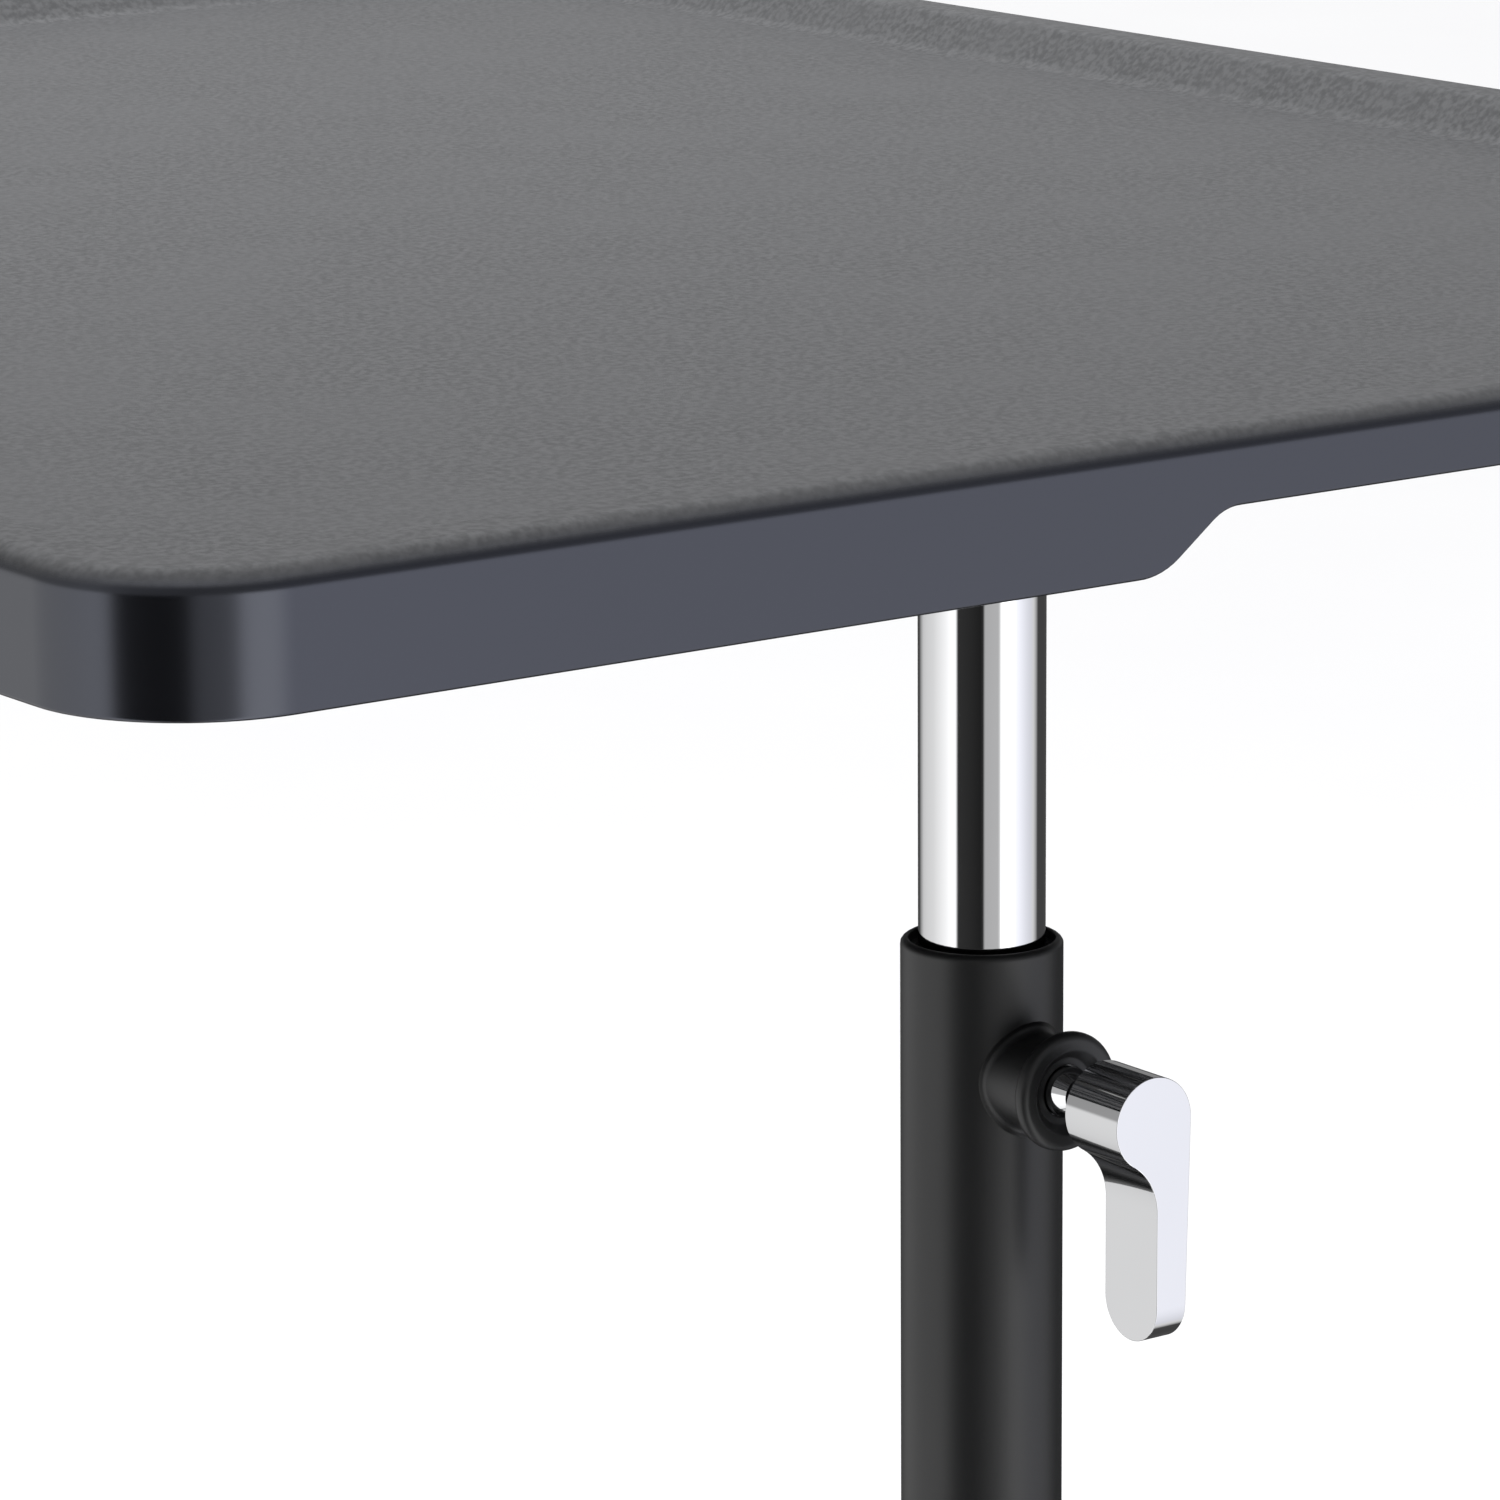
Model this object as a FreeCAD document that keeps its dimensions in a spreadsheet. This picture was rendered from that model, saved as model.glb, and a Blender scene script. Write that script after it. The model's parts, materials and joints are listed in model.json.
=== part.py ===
"""Overbed table: a rimmed plastic tray on a telescopic column that stands at one end of the tray.

Millimetres, +Z up. The origin is on the floor, under the middle of the tray. The tray is long in Y,
and the column stands near its -Y end, so the tray reaches out over the bed in +Y. The clamp lever
points to -Y. The chrome inner tube slides and turns in the black outer tube and is held by the
clamp's pressure pad. The base is a welded H of rectangular tube on four braked castors.
"""
import FreeCAD, Part
import math
import os
import re
import Sketcher
from FreeCAD import Vector

SIZES = {
    # Column
    "column_y": -210,
    "outer_radius": 16,
    "outer_bore": 14.5,
    "inner_radius": 12.5,
    "inner_bore": 11,
    "rim_height": 640,
    "lip_rounding": 1.3,
    "running_gap": 0.05,
    "inner_bottom": 331,
    "bush_length": 40,
    "bush_recess": 2,
    "bush_chamfer": 0.5,
    "bush_lead": 1,
    "sleeve_length": 60,
    "sleeve_wall": 1.9,
    "sleeve_chamfer": 0.5,
    "sleeve_lead": 1.5,
    "end_play": 0.05,
    "plug_flange": 5,
    "plug_depth": 18,
    "plug_bevel": 0.6,
    "plug_lead": 1,
    "guide_overhang": 1.2,
    "clip_thickness": 1.2,
    "groove_depth": 0.6,
    "clip_gap": 5,
    # Tray
    "tray_width": 550,
    "tray_length": 700,
    "tray_height": 24.5,
    "tray_bottom": 742.8,
    "tray_corner": 30,
    "skirt_wall": 3,
    "crest_width": 13,
    "well_depth": 9,
    "well_slope": 45,
    "floor_thickness": 3.5,
    "rim_hollow_width": 9,
    "rim_hollow_depth": 8,
    "crest_outer_rounding": 4.5,
    "crest_inner_rounding": 4,
    "well_foot_rounding": 6,
    "skirt_edge_rounding": 0.8,
    "rib_depth": 4,
    "rib_thickness": 2.5,
    "rib_pitch_x": 50,
    "rib_pitch_y": 58,
    "rib_end": 40,
    "boss_radius": 6,
    "pilot_radius": 2,
    "pilot_depth": 6,
    "grip_half_width": 69.8,
    "grip_top_half_width": 55.85,
    "grip_depth": 10.5,
    "grip_lower_rounding": 14,
    "grip_upper_rounding": 10,
    "grip_overrun": 3,
    # Frame under the tray
    "arm_x": 75,
    "arm_width": 25,
    "arm_height": 10,
    "arm_wall": 1.5,
    "arm_start": -300,
    "arm_length": 570,
    "screw_first": -285,
    "screw_pitch": 180,
    "screw_head_radius": 4.5,
    "screw_head_height": 2.4,
    "plate_length": 140,
    "plate_thickness": 3,
    "plate_corner": 4,
    "strap_y": 215,
    "strap_width": 30,
    "socket_radius": 16.5,
    "socket_length": 35,
    "socket_chamfer": 1.5,
    "socket_weld": 3,
    "grub_radius": 3,
    "drill_overrun": 1,
    # Clamp
    "clamp_drop": 25.5,
    "clamp_boss_radius": 9.6,
    "clamp_boss_end": 24.5,
    "weld_radius": 2,
    "ring_radius": 11.8,
    "ring_end": 28,
    "ring_rounding": 1.6,
    "dish_radius": 8.4,
    "dish_floor_radius": 6.6,
    "dish_depth": 1.8,
    "collar_bore": 5.2,
    "insert_radius": 6,
    "insert_start": 17.2,
    "stud_radius": 4,
    "stud_tip": 16.05,
    "stud_chamfer": 0.7,
    "collar_radius": 4.7,
    "collar_start": 25.2,
    "shoulder_radius": 7,
    "shoulder_start": 35.4,
    "shoulder_chamfer": 0.5,
    "pad_radius": 5.1,
    "pad_hole": 5.2,
    "pad_gap": 0.03,
    # Lever
    "lever_front": 52.5,
    "lever_breadth": 15.7,
    "hub_x": 0.65,
    "hub_drop": 0.8,
    "hub_radius": 9.15,
    "lever_reach": 45.2,
    "arm_left": 0.95,
    "arm_right": 7.9,
    "throat_radius": 12.2,
    "lever_edge": 0.3,
    "lever_foot_flat": 0.04,
    "hub_chamfer": 1,
    # Base
    "leg_x": 220,
    "leg_width": 40,
    "leg_bottom": 66,
    "leg_height": 25,
    "leg_wall": 2,
    "leg_start": -290,
    "leg_length": 590,
    "leg_corner": 3,
    "beam_width": 70,
    "beam_wall": 2,
    "cap_lip": 2.5,
    "arm_cap_depth": 10,
    "leg_cap_depth": 5,
    "flange_width": 110,
    "flange_depth": 66,
    "flange_thickness": 6,
    "flange_corner": 10,
    "flange_weld": 4,
    "bolt_x": 42,
    "bolt_y": 22,
    "bolt_radius": 4,
    "bolt_head_radius": 6.6,
    "bolt_head_height": 4.4,
    "bolt_nut_height": 5,
    # Castors
    "castor_rear": -275,
    "castor_front": 285,
    "trail": 16,
    "wheel_radius": 25,
    "tyre_depth": 5.5,
    "tyre_width": 20,
    "tyre_rounding": 2.5,
    "hub_half": 11.3,
    "hub_outer": 9,
    "web_root": 2,
    "rim_wall": 2,
    "rim_slope": 1.5,
    "tyre_overlap": 1,
    "web_half": 5,
    "axle_radius": 4,
    "axle_head": 6,
    "axle_head_thickness": 1.6,
    "axle_chamfer": 0.8,
    "cheek_inner": 11.5,
    "cheek_outer": 14.5,
    "fork_under": 54,
    "fork_top": 57.5,
    "fork_front": 18,
    "fork_eye": 9,
    "fork_eye_slant": 6.36,
    "crown_rounding": 1,
    "stem_radius": 5,
    "stem_head": 7,
    "stem_head_height": 2.95,
    "stem_collar": 13,
    "stem_collar_height": 3,
    "stem_collar_taper": 3,
    "stem_chamfer": 1,
    "stem_collar_bottom": 57.6,
    "stem_top": 82,
    "stem_nut_radius": 8.5,
    "stem_nut_height": 8,
    "pedal_y": 12,
    "pedal_z": 48.5,
    "pedal_hub": 4,
    "pedal_heel": 2.4,
    "pedal_pin": 2.5,
    "pin_setback": 0.2,
    "pedal_half_width": 11.2,
    "pedal_reach": 36,
    "pedal_thickness": 3.2,
    "pedal_drop": 3,
    "shoe_gap": 0.2,
    "shoe_lead": 3,
    "shoe_heel": 0.5,
}
CASTORS = {
    "front_left": ("-leg_x", "castor_front"),
    "front_right": ("leg_x", "castor_front"),
    "rear_left": ("-leg_x", "castor_rear"),
    "rear_right": ("leg_x", "castor_rear"),
}
SIDES = {"left": "-1", "right": "1"}
SCREW_ROWS = 4
CLOSE = 0.01
LOOSE = 0.1

DOC = FreeCAD.newDocument("overbed_table")
SUBPARTS = []


# ---------------------------------------------------------------- sheet and expressions

def make_sheet():
    """Put every driving dimension in the spreadsheet, one alias for each."""
    sheet = DOC.addObject("Spreadsheet::Sheet", "Dimensions")
    for row, (alias, number) in enumerate(SIZES.items(), start=1):
        sheet.set(f"A{row}", alias)
        sheet.set(f"B{row}", str(number))
        sheet.setAlias(f"B{row}", alias)
    DOC.recompute()
    return sheet


SHEET = make_sheet()


def linked(text):
    """The text as an expression on the sheet: each alias gets the sheet's name before it."""
    return re.sub(r"[a-z_]{3,}[a-z0-9_]*", sheet_word, text)


def sheet_word(match):
    word = match.group()
    return f"Dimensions.{word}" if word in SIZES else word


def value(text):
    """The number that an expression on the sheet gives now."""
    return float(SHEET.evalExpression(linked(text)))


def bind(thing, prop, text):
    thing.setExpression(prop, linked(text))


def place(thing, at):
    """Bind the object's position to three expressions."""
    for axis, text in zip("xyz", at):
        bind(thing, f"Placement.Base.{axis}", text)


def finish(thing, label, at=None):
    """Name a finished sub-part, place it and list it for export."""
    thing.Label = label
    if at:
        place(thing, at)
    SUBPARTS.append(thing)
    return thing


# ---------------------------------------------------------------- primitives and booleans

def block(name, size, at):
    """A box with its lowest corner at the given place."""
    thing = DOC.addObject("Part::Box", name)
    for prop, text in zip(("Length", "Width", "Height"), size):
        bind(thing, prop, text)
    place(thing, at)
    return thing


TURNS = {
    "+z": (Vector(0, 0, 1), 0),
    "-y": (Vector(1, 0, 0), 90),
    "+x": (Vector(0, 1, 0), 90),
}


def rod(name, radius, length, at, axis="+z"):
    """A cylinder from the given place along an axis."""
    thing = DOC.addObject("Part::Cylinder", name)
    bind(thing, "Radius", radius)
    bind(thing, "Height", length)
    thing.Placement = FreeCAD.Placement(Vector(), FreeCAD.Rotation(*TURNS[axis]))
    place(thing, at)
    return thing


def drill_each(name, radius, length, places):
    """An upright rod for each hole."""
    return [rod(f"{name}_{i}", radius, length, at) for i, at in enumerate(places)]


def hexagon(name, radius, height, at):
    """A hexagonal prism, such as a bolt's head or a nut."""
    thing = DOC.addObject("Part::Prism", name)
    thing.Polygon = 6
    bind(thing, "Circumradius", radius)
    bind(thing, "Height", height)
    place(thing, at)
    return thing


def cut(name, base, *tools):
    """The base less each tool."""
    tool = tools[0] if len(tools) == 1 else join(f"{name}_tools", *tools)
    thing = DOC.addObject("Part::Cut", name)
    thing.Base = base
    thing.Tool = tool
    return thing


def join(name, *pieces):
    thing = DOC.addObject("Part::MultiFuse", name)
    thing.Shapes = list(pieces)
    return thing


def group(name, *pieces):
    """Identical separate solids in one sub-part."""
    thing = DOC.addObject("Part::Compound", name)
    thing.Links = list(pieces)
    return thing


# ---------------------------------------------------------------- bodies and sketches

def new_body(name):
    return DOC.addObject("PartDesign::Body", name)


def new_sketch(body, name, role, offset="0"):
    """A sketch on one of the body's own origin planes, moved along that plane's normal."""
    sketch = body.newObject("Sketcher::SketchObject", name)
    plane = next(part for part in body.Origin.OriginFeatures if part.Role == role)
    sketch.AttachmentSupport = [(plane, "")]
    sketch.MapMode = "FlatFace"
    bind(sketch, "AttachmentOffset.Base.z", offset)
    return sketch


def pin_point(sketch, element, point, x, y):
    """Tie a vertex to the sketch's origin by two bound distances."""
    for kind, text in (("DistanceX", x), ("DistanceY", y)):
        index = sketch.addConstraint(Sketcher.Constraint(kind, -1, 1, element, point, value(text)))
        bind(sketch, f"Constraints[{index}]", text)


def polygon(sketch, corners):
    """A closed outline of straight edges, each corner bound to the sheet."""
    points = [Vector(value(x), value(y), 0) for x, y in corners]
    first = sketch.GeometryCount
    count = len(points)
    for i in range(count):
        sketch.addGeometry(Part.LineSegment(points[i], points[(i + 1) % count]), False)
    for i in range(count):
        follower = first + (i + 1) % count
        sketch.addConstraint(Sketcher.Constraint("Coincident", first + i, 2, follower, 1))
    for i, (x, y) in enumerate(corners):
        pin_point(sketch, first + i, 1, x, y)


def circle(sketch, x, y, radius):
    centre = Vector(value(x), value(y), 0)
    element = sketch.addGeometry(Part.Circle(centre, Vector(0, 0, 1), value(radius)), False)
    index = sketch.addConstraint(Sketcher.Constraint("Radius", element, value(radius)))
    bind(sketch, f"Constraints[{index}]", radius)
    pin_point(sketch, element, 3, x, y)


def rounded_rectangle(sketch, width, length, corner):
    """A rectangle about the origin with an arc at each corner."""
    a = value(width) / 2
    b = value(length) / 2
    r = value(corner)
    quarter = math.pi / 2
    centres = [(a - r, b - r), (r - a, b - r), (r - a, r - b), (a - r, r - b)]
    arcs = []
    for i, (x, y) in enumerate(centres):
        round_corner = Part.Circle(Vector(x, y, 0), Vector(0, 0, 1), r)
        arc = Part.ArcOfCircle(round_corner, i * quarter, (i + 1) * quarter)
        arcs.append(sketch.addGeometry(arc, False))
    ends = [sketch.getPoint(arc, 2) for arc in arcs]
    starts = [sketch.getPoint(arc, 1) for arc in arcs]
    for i, kind in enumerate(("Horizontal", "Vertical", "Horizontal", "Vertical")):
        following = arcs[(i + 1) % 4]
        line = sketch.addGeometry(Part.LineSegment(ends[i], starts[(i + 1) % 4]), False)
        sketch.addConstraint(Sketcher.Constraint("Tangent", arcs[i], 2, line, 1))
        sketch.addConstraint(Sketcher.Constraint("Tangent", line, 2, following, 1))
        sketch.addConstraint(Sketcher.Constraint(kind, line))
    index = sketch.addConstraint(Sketcher.Constraint("Radius", arcs[0], r))
    bind(sketch, f"Constraints[{index}]", corner)
    for arc in arcs[1:]:
        sketch.addConstraint(Sketcher.Constraint("Equal", arcs[0], arc))
    half_width = f"({width}) / 2 - ({corner})"
    half_length = f"({length}) / 2 - ({corner})"
    pin_point(sketch, arcs[0], 3, half_width, half_length)
    pin_point(sketch, arcs[2], 3, f"-({half_width})", f"-({half_length})")


def pad(body, sketch, length, midplane=False, flipped=False):
    feature = body.newObject("PartDesign::Pad", f"{sketch.Name}_pad")
    feature.Profile = sketch
    feature.Midplane = midplane
    feature.Reversed = flipped
    bind(feature, "Length", length)
    DOC.recompute()
    return feature


def pocket(body, sketch, depth, midplane=False, flipped=False, taper=None):
    """A pocket that has to take something away, or the build stops."""
    before = body.Shape.Volume
    feature = body.newObject("PartDesign::Pocket", f"{sketch.Name}_pocket")
    feature.Profile = sketch
    feature.Midplane = midplane
    feature.Reversed = flipped
    bind(feature, "Length", depth)
    if taper:
        bind(feature, "TaperAngle", taper)
    DOC.recompute()
    if feature.Shape.Volume > before - CLOSE:
        raise RuntimeError(f"{feature.Name} cuts nothing")
    return feature


def revolve(body, sketch, axis="V_Axis"):
    feature = body.newObject("PartDesign::Revolution", f"{sketch.Name}_turned")
    feature.Profile = sketch
    feature.ReferenceAxis = (sketch, [axis])
    feature.Angle = 360
    DOC.recompute()
    return feature


def turned(name, outline, axis="V_Axis", role="XZ_Plane"):
    """A lathe piece: a closed outline turned about the sketch's axis."""
    body = new_body(name)
    sketch = new_sketch(body, f"{name}_outline", role)
    polygon(sketch, outline)
    revolve(body, sketch, axis)
    return body


def edges_where(shape, test):
    return [f"Edge{i}" for i, edge in enumerate(shape.Edges, start=1) if test(edge)]


def dress(body, kind, feature, size, test):
    """A fillet or chamfer on the feature's edges that pass the test."""
    names = edges_where(feature.Shape, test)
    if not names:
        raise RuntimeError(f"no edges for {kind} on {feature.Name}")
    dressed = body.newObject(f"PartDesign::{kind}", f"{feature.Name}_{kind.lower()}")
    dressed.Base = (feature, names)
    bind(dressed, "Radius" if kind == "Fillet" else "Size", size)
    DOC.recompute()
    return dressed


def near(a, b, tolerance=CLOSE):
    return abs(a - b) < tolerance


def flat_at(z):
    """True for an edge that lies wholly at one height."""
    return lambda edge: near(edge.BoundBox.ZMin, z) and near(edge.BoundBox.ZMax, z)


# ---------------------------------------------------------------- tray

UNDERSIDE = "tray_height - well_depth - floor_thickness"


def make_tray():
    """The moulded tray: skirt, rounded rim crest, sloped well wall, ribs and screw bosses below."""
    body = new_body("tray_body")
    sketch = new_sketch(body, "tray_outline", "XY_Plane")
    rounded_rectangle(sketch, "tray_width", "tray_length", "tray_corner")
    pad(body, sketch, "tray_height")

    well = new_sketch(body, "tray_well", "XY_Plane", "tray_height")
    crest = "2 * crest_width"
    width = f"tray_width - {crest}"
    rounded_rectangle(well, width, f"tray_length - {crest}", "tray_corner - crest_width")
    pocket(body, well, "well_depth", taper="-well_slope")

    under = new_sketch(body, "tray_underside", "XY_Plane")
    inset_rectangle(under, "skirt_wall")
    pocket(body, under, UNDERSIDE, flipped=True)

    hollow = new_sketch(body, "tray_rim_hollow", "XY_Plane", UNDERSIDE)
    inset_rectangle(hollow, "skirt_wall")
    inset_rectangle(hollow, "skirt_wall + rim_hollow_width")
    pocket(body, hollow, "rim_hollow_depth", flipped=True)
    feature = cut_hand_grip(body)
    round_tray(body, feature)
    add_ribs(body)
    add_screw_bosses(body)
    return finish(body, "tray", ("0", "0", "tray_bottom"))


def inset_rectangle(sketch, inset):
    """The tray's outline moved inwards all round."""
    double = f"2 * ({inset})"
    corner = f"tray_corner - ({inset})"
    rounded_rectangle(sketch, f"tray_width - {double}", f"tray_length - {double}", corner)


def round_tray(body, feature):
    """Round the crest's two edges, the foot of the well's wall and the skirt's lower edge."""
    top = value("tray_height")
    floor = value("tray_height - well_depth")
    half = value("tray_width") / 2

    def outer(edge):
        box = edge.BoundBox
        return max(abs(box.XMin), abs(box.XMax)) > half - value("skirt_wall") / 2 or on_end(box)

    def on_end(box):
        reach = max(abs(box.YMin), abs(box.YMax))
        return reach > value("tray_length") / 2 - value("skirt_wall") / 2

    feature = dress(body, "Fillet", feature, "well_foot_rounding", flat_at(floor))
    inner_crest = lambda edge: flat_at(top)(edge) and not outer(edge)
    feature = dress(body, "Fillet", feature, "crest_inner_rounding", inner_crest)
    outer_crest = lambda edge: flat_at(top)(edge) and outer(edge)
    feature = dress(body, "Fillet", feature, "crest_outer_rounding", outer_crest)
    skirt_edge = lambda edge: flat_at(0)(edge) and outer(edge)
    return dress(body, "Fillet", feature, "skirt_edge_rounding", skirt_edge)


def add_ribs(body):
    """A grid of ribs between the underside of the floor and the frame that carries the tray."""
    level = f"{UNDERSIDE} - rib_depth"
    spans = {
        "x": ("rib_thickness", "tray_length - 2 * rib_end", "rib_pitch_x", "tray_width"),
        "y": ("tray_width - 2 * skirt_wall", "rib_thickness", "rib_pitch_y", "tray_length"),
    }
    for axis, (width, length, pitch, across) in spans.items():
        each_side = int((value(across) / 2 - value("skirt_wall + rim_hollow_width")) // value(pitch))
        first = f"-{each_side} * {pitch}"
        shift_x = first if axis == "x" else "0"
        shift_y = first if axis == "y" else "0"
        sketch = new_sketch(body, f"rib_{axis}", "XY_Plane", level)
        rectangle_about(sketch, shift_x, shift_y, width, length)
        feature = pad(body, sketch, "rib_depth")
        pattern = body.newObject("PartDesign::LinearPattern", f"ribs_{axis}")
        pattern.Originals = [feature]
        pattern.Direction = (sketch, ["H_Axis" if axis == "x" else "V_Axis"])
        bind(pattern, "Length", f"{2 * each_side} * {pitch}")
        pattern.Occurrences = 2 * each_side + 1
        body.Tip = pattern
        DOC.recompute()


def rectangle_about(sketch, x, y, width, length):
    """A plain rectangle about a point."""
    signs = ((-1, -1), (1, -1), (1, 1), (-1, 1))
    polygon(sketch, [(f"{x} + {i} * ({width}) / 2", f"{y} + {j} * ({length}) / 2") for i, j in signs])


def screw_places():
    """The x and y of each screw that holds the tray to its two arms."""
    rows = [f"screw_first + {row} * screw_pitch" for row in range(SCREW_ROWS)]
    return [(f"{sign} * arm_x", y) for sign in SIDES.values() for y in rows]


def add_screw_bosses(body):
    level = f"{UNDERSIDE} - rib_depth"
    bosses = new_sketch(body, "tray_bosses", "XY_Plane", level)
    pilots = new_sketch(body, "tray_pilots", "XY_Plane", level)
    for x, y in screw_places():
        circle(bosses, x, y, "boss_radius")
        circle(pilots, x, y, "pilot_radius")
    pad(body, bosses, "rib_depth")
    pocket(body, pilots, "pilot_depth", flipped=True)


def cut_hand_grip(body):
    """The shallow length of skirt at the column's end, where fingers reach under the rim."""
    slot = new_sketch(body, "hand_grip", "XZ_Plane", "tray_length / 2 - skirt_wall")
    spread = "grip_overrun * (grip_half_width - grip_top_half_width) / grip_depth"
    foot = f"grip_half_width + {spread}"
    polygon(slot, [
        (f"-({foot})", "-grip_overrun"),
        (foot, "-grip_overrun"),
        ("grip_top_half_width", "grip_depth"),
        ("-grip_top_half_width", "grip_depth"),
    ])
    feature = pocket(body, slot, "2 * skirt_wall", flipped=True)
    face = value("-tray_length / 2")

    def corner(z, x):
        def test(edge):
            box = edge.BoundBox
            on_wall = box.YMax < face + value("skirt_wall") + LOOSE and box.YLength > LOOSE
            at_height = near(box.ZMin, z, LOOSE) and near(box.ZMax, z, LOOSE)
            return on_wall and at_height and near(abs(box.Center.x), x, LOOSE)
        return test

    upper = corner(value("grip_depth"), value("grip_top_half_width"))
    feature = dress(body, "Fillet", feature, "grip_upper_rounding", upper)
    lower = corner(0, value("grip_half_width"))
    return dress(body, "Fillet", feature, "grip_lower_rounding", lower)


# ---------------------------------------------------------------- frame under the tray

MOUNT_LEVEL = f"tray_bottom + {UNDERSIDE} - rib_depth"


def same_side(x, sign):
    return value(x) * value(sign) > 0


def make_tray_arms():
    """Two rectangular tubes along the tray, drilled through for its screws."""
    for side, sign in SIDES.items():
        x = f"{sign} * arm_x - arm_width / 2"
        bottom = f"{MOUNT_LEVEL} - arm_height"
        size = ("arm_width", "arm_length", "arm_height")
        outer = block(f"arm_{side}_outer", size, (x, "arm_start", bottom))
        size = ("arm_width - 2 * arm_wall", "arm_length", "arm_height - 2 * arm_wall")
        inner_at = (f"{x} + arm_wall", "arm_start", f"{bottom} + arm_wall")
        inner = block(f"arm_{side}_inner", size, inner_at)
        at = [(hole_x, hole_y, bottom) for hole_x, hole_y in screw_places() if same_side(hole_x, sign)]
        drills = drill_each(f"arm_{side}_drill", "pilot_radius", "arm_height", at)
        finish(cut(f"arm_{side}", outer, inner, *drills), f"tray_arm_{side}")


def make_arm_caps():
    """Plugs that close the four open ends of the tray arms."""
    plugs = []
    for side, sign in SIDES.items():
        for end, y in (("rear", "arm_start"), ("front", "arm_start + arm_length - arm_cap_depth")):
            size = ("arm_width - 2 * arm_wall", "arm_cap_depth", "arm_height - 2 * arm_wall")
            x = f"{sign} * arm_x - arm_width / 2 + arm_wall"
            at = (x, y, f"{MOUNT_LEVEL} - arm_height + arm_wall")
            plugs.append(block(f"arm_cap_{side}_{end}", size, at))
    finish(group("arm_caps", *plugs), "tray_arm_caps")


def make_tray_screws():
    """Pan-head screws up through the arms into the tray's bosses."""
    screws = []
    bottom = f"{MOUNT_LEVEL} - arm_height"
    for i, (x, y) in enumerate(screw_places()):
        length = "arm_height + pilot_depth - arm_wall"
        shank = rod(f"screw_shank_{i}", "pilot_radius", length, (x, y, bottom))
        head_at = (x, y, f"{bottom} - screw_head_height")
        head = rod(f"screw_head_{i}", "screw_head_radius", "screw_head_height", head_at)
        screws.append(join(f"tray_screw_{i}", shank, head))
    finish(group("tray_screw_set", *screws), "tray_screws")


def make_mount_plate():
    """The plate between the arms that the column's socket is welded to."""
    width = "2 * arm_x - arm_width"
    body = new_body("mount_plate_body")
    sketch = new_sketch(body, "mount_plate_outline", "XY_Plane")
    rounded_rectangle(sketch, width, "plate_length", "plate_corner")
    pad(body, sketch, "plate_thickness")
    finish(body, "tray_mount_plate", ("0", "column_y", f"{MOUNT_LEVEL} - plate_thickness"))
    at = ("arm_width / 2 - arm_x", "strap_y", f"{MOUNT_LEVEL} - plate_thickness")
    finish(block("strap", (width, "strap_width", "plate_thickness"), at), "tray_cross_strap")


def make_column_socket():
    """The short tube under the mount plate that the chrome tube stands in, with its weld."""
    body = turned("socket_body", [
        ("inner_radius", "0"),
        ("inner_radius", "-socket_length"),
        ("socket_radius - socket_chamfer", "-socket_length"),
        ("socket_radius", "socket_chamfer - socket_length"),
        ("socket_radius", "-socket_weld"),
        ("socket_radius + socket_weld", "0"),
    ])
    level = f"{MOUNT_LEVEL} - plate_thickness"
    place(body, ("0", "column_y", level))
    drill_at = ("-socket_radius - drill_overrun", "column_y", f"{level} - socket_length / 2")
    drill = rod("socket_drill", "grub_radius", "2 * (socket_radius + drill_overrun)", drill_at, "+x")
    finish(cut("socket", body, drill), "column_socket")
    grubs = []
    for side, start in (("left", "-socket_radius"), ("right", "inner_radius")):
        at = (start, "column_y", f"{level} - socket_length / 2")
        grub = rod(f"grub_{side}", "grub_radius", "socket_radius - inner_radius", at, "+x")
        grubs.append(grub)
    tube_at = ("0", "column_y", f"{level} - socket_length")
    tube = rod("socket_tube", "inner_radius", "socket_length", tube_at)
    fitted = [cut(f"{grub.Name}_fitted", grub, tube) for grub in grubs]
    finish(group("socket_screw_set", *fitted), "socket_screws")


# ---------------------------------------------------------------- column

def make_inner_tube():
    """The chrome tube, with the groove of the glide sleeve's clip near its lower end."""
    groove = "sleeve_length + 2 * end_play"
    length = f"{MOUNT_LEVEL} - plate_thickness - inner_bottom - plug_flange"
    body = turned("inner_tube_body", [
        ("inner_bore", "0"),
        ("inner_radius", "0"),
        ("inner_radius", groove),
        ("inner_radius - groove_depth", groove),
        ("inner_radius - groove_depth", f"{groove} + clip_thickness"),
        ("inner_radius", f"{groove} + clip_thickness"),
        ("inner_radius", length),
        ("inner_bore", length),
    ])
    finish(body, "inner_column_tube", ("0", "column_y", "inner_bottom + plug_flange"))


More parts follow.
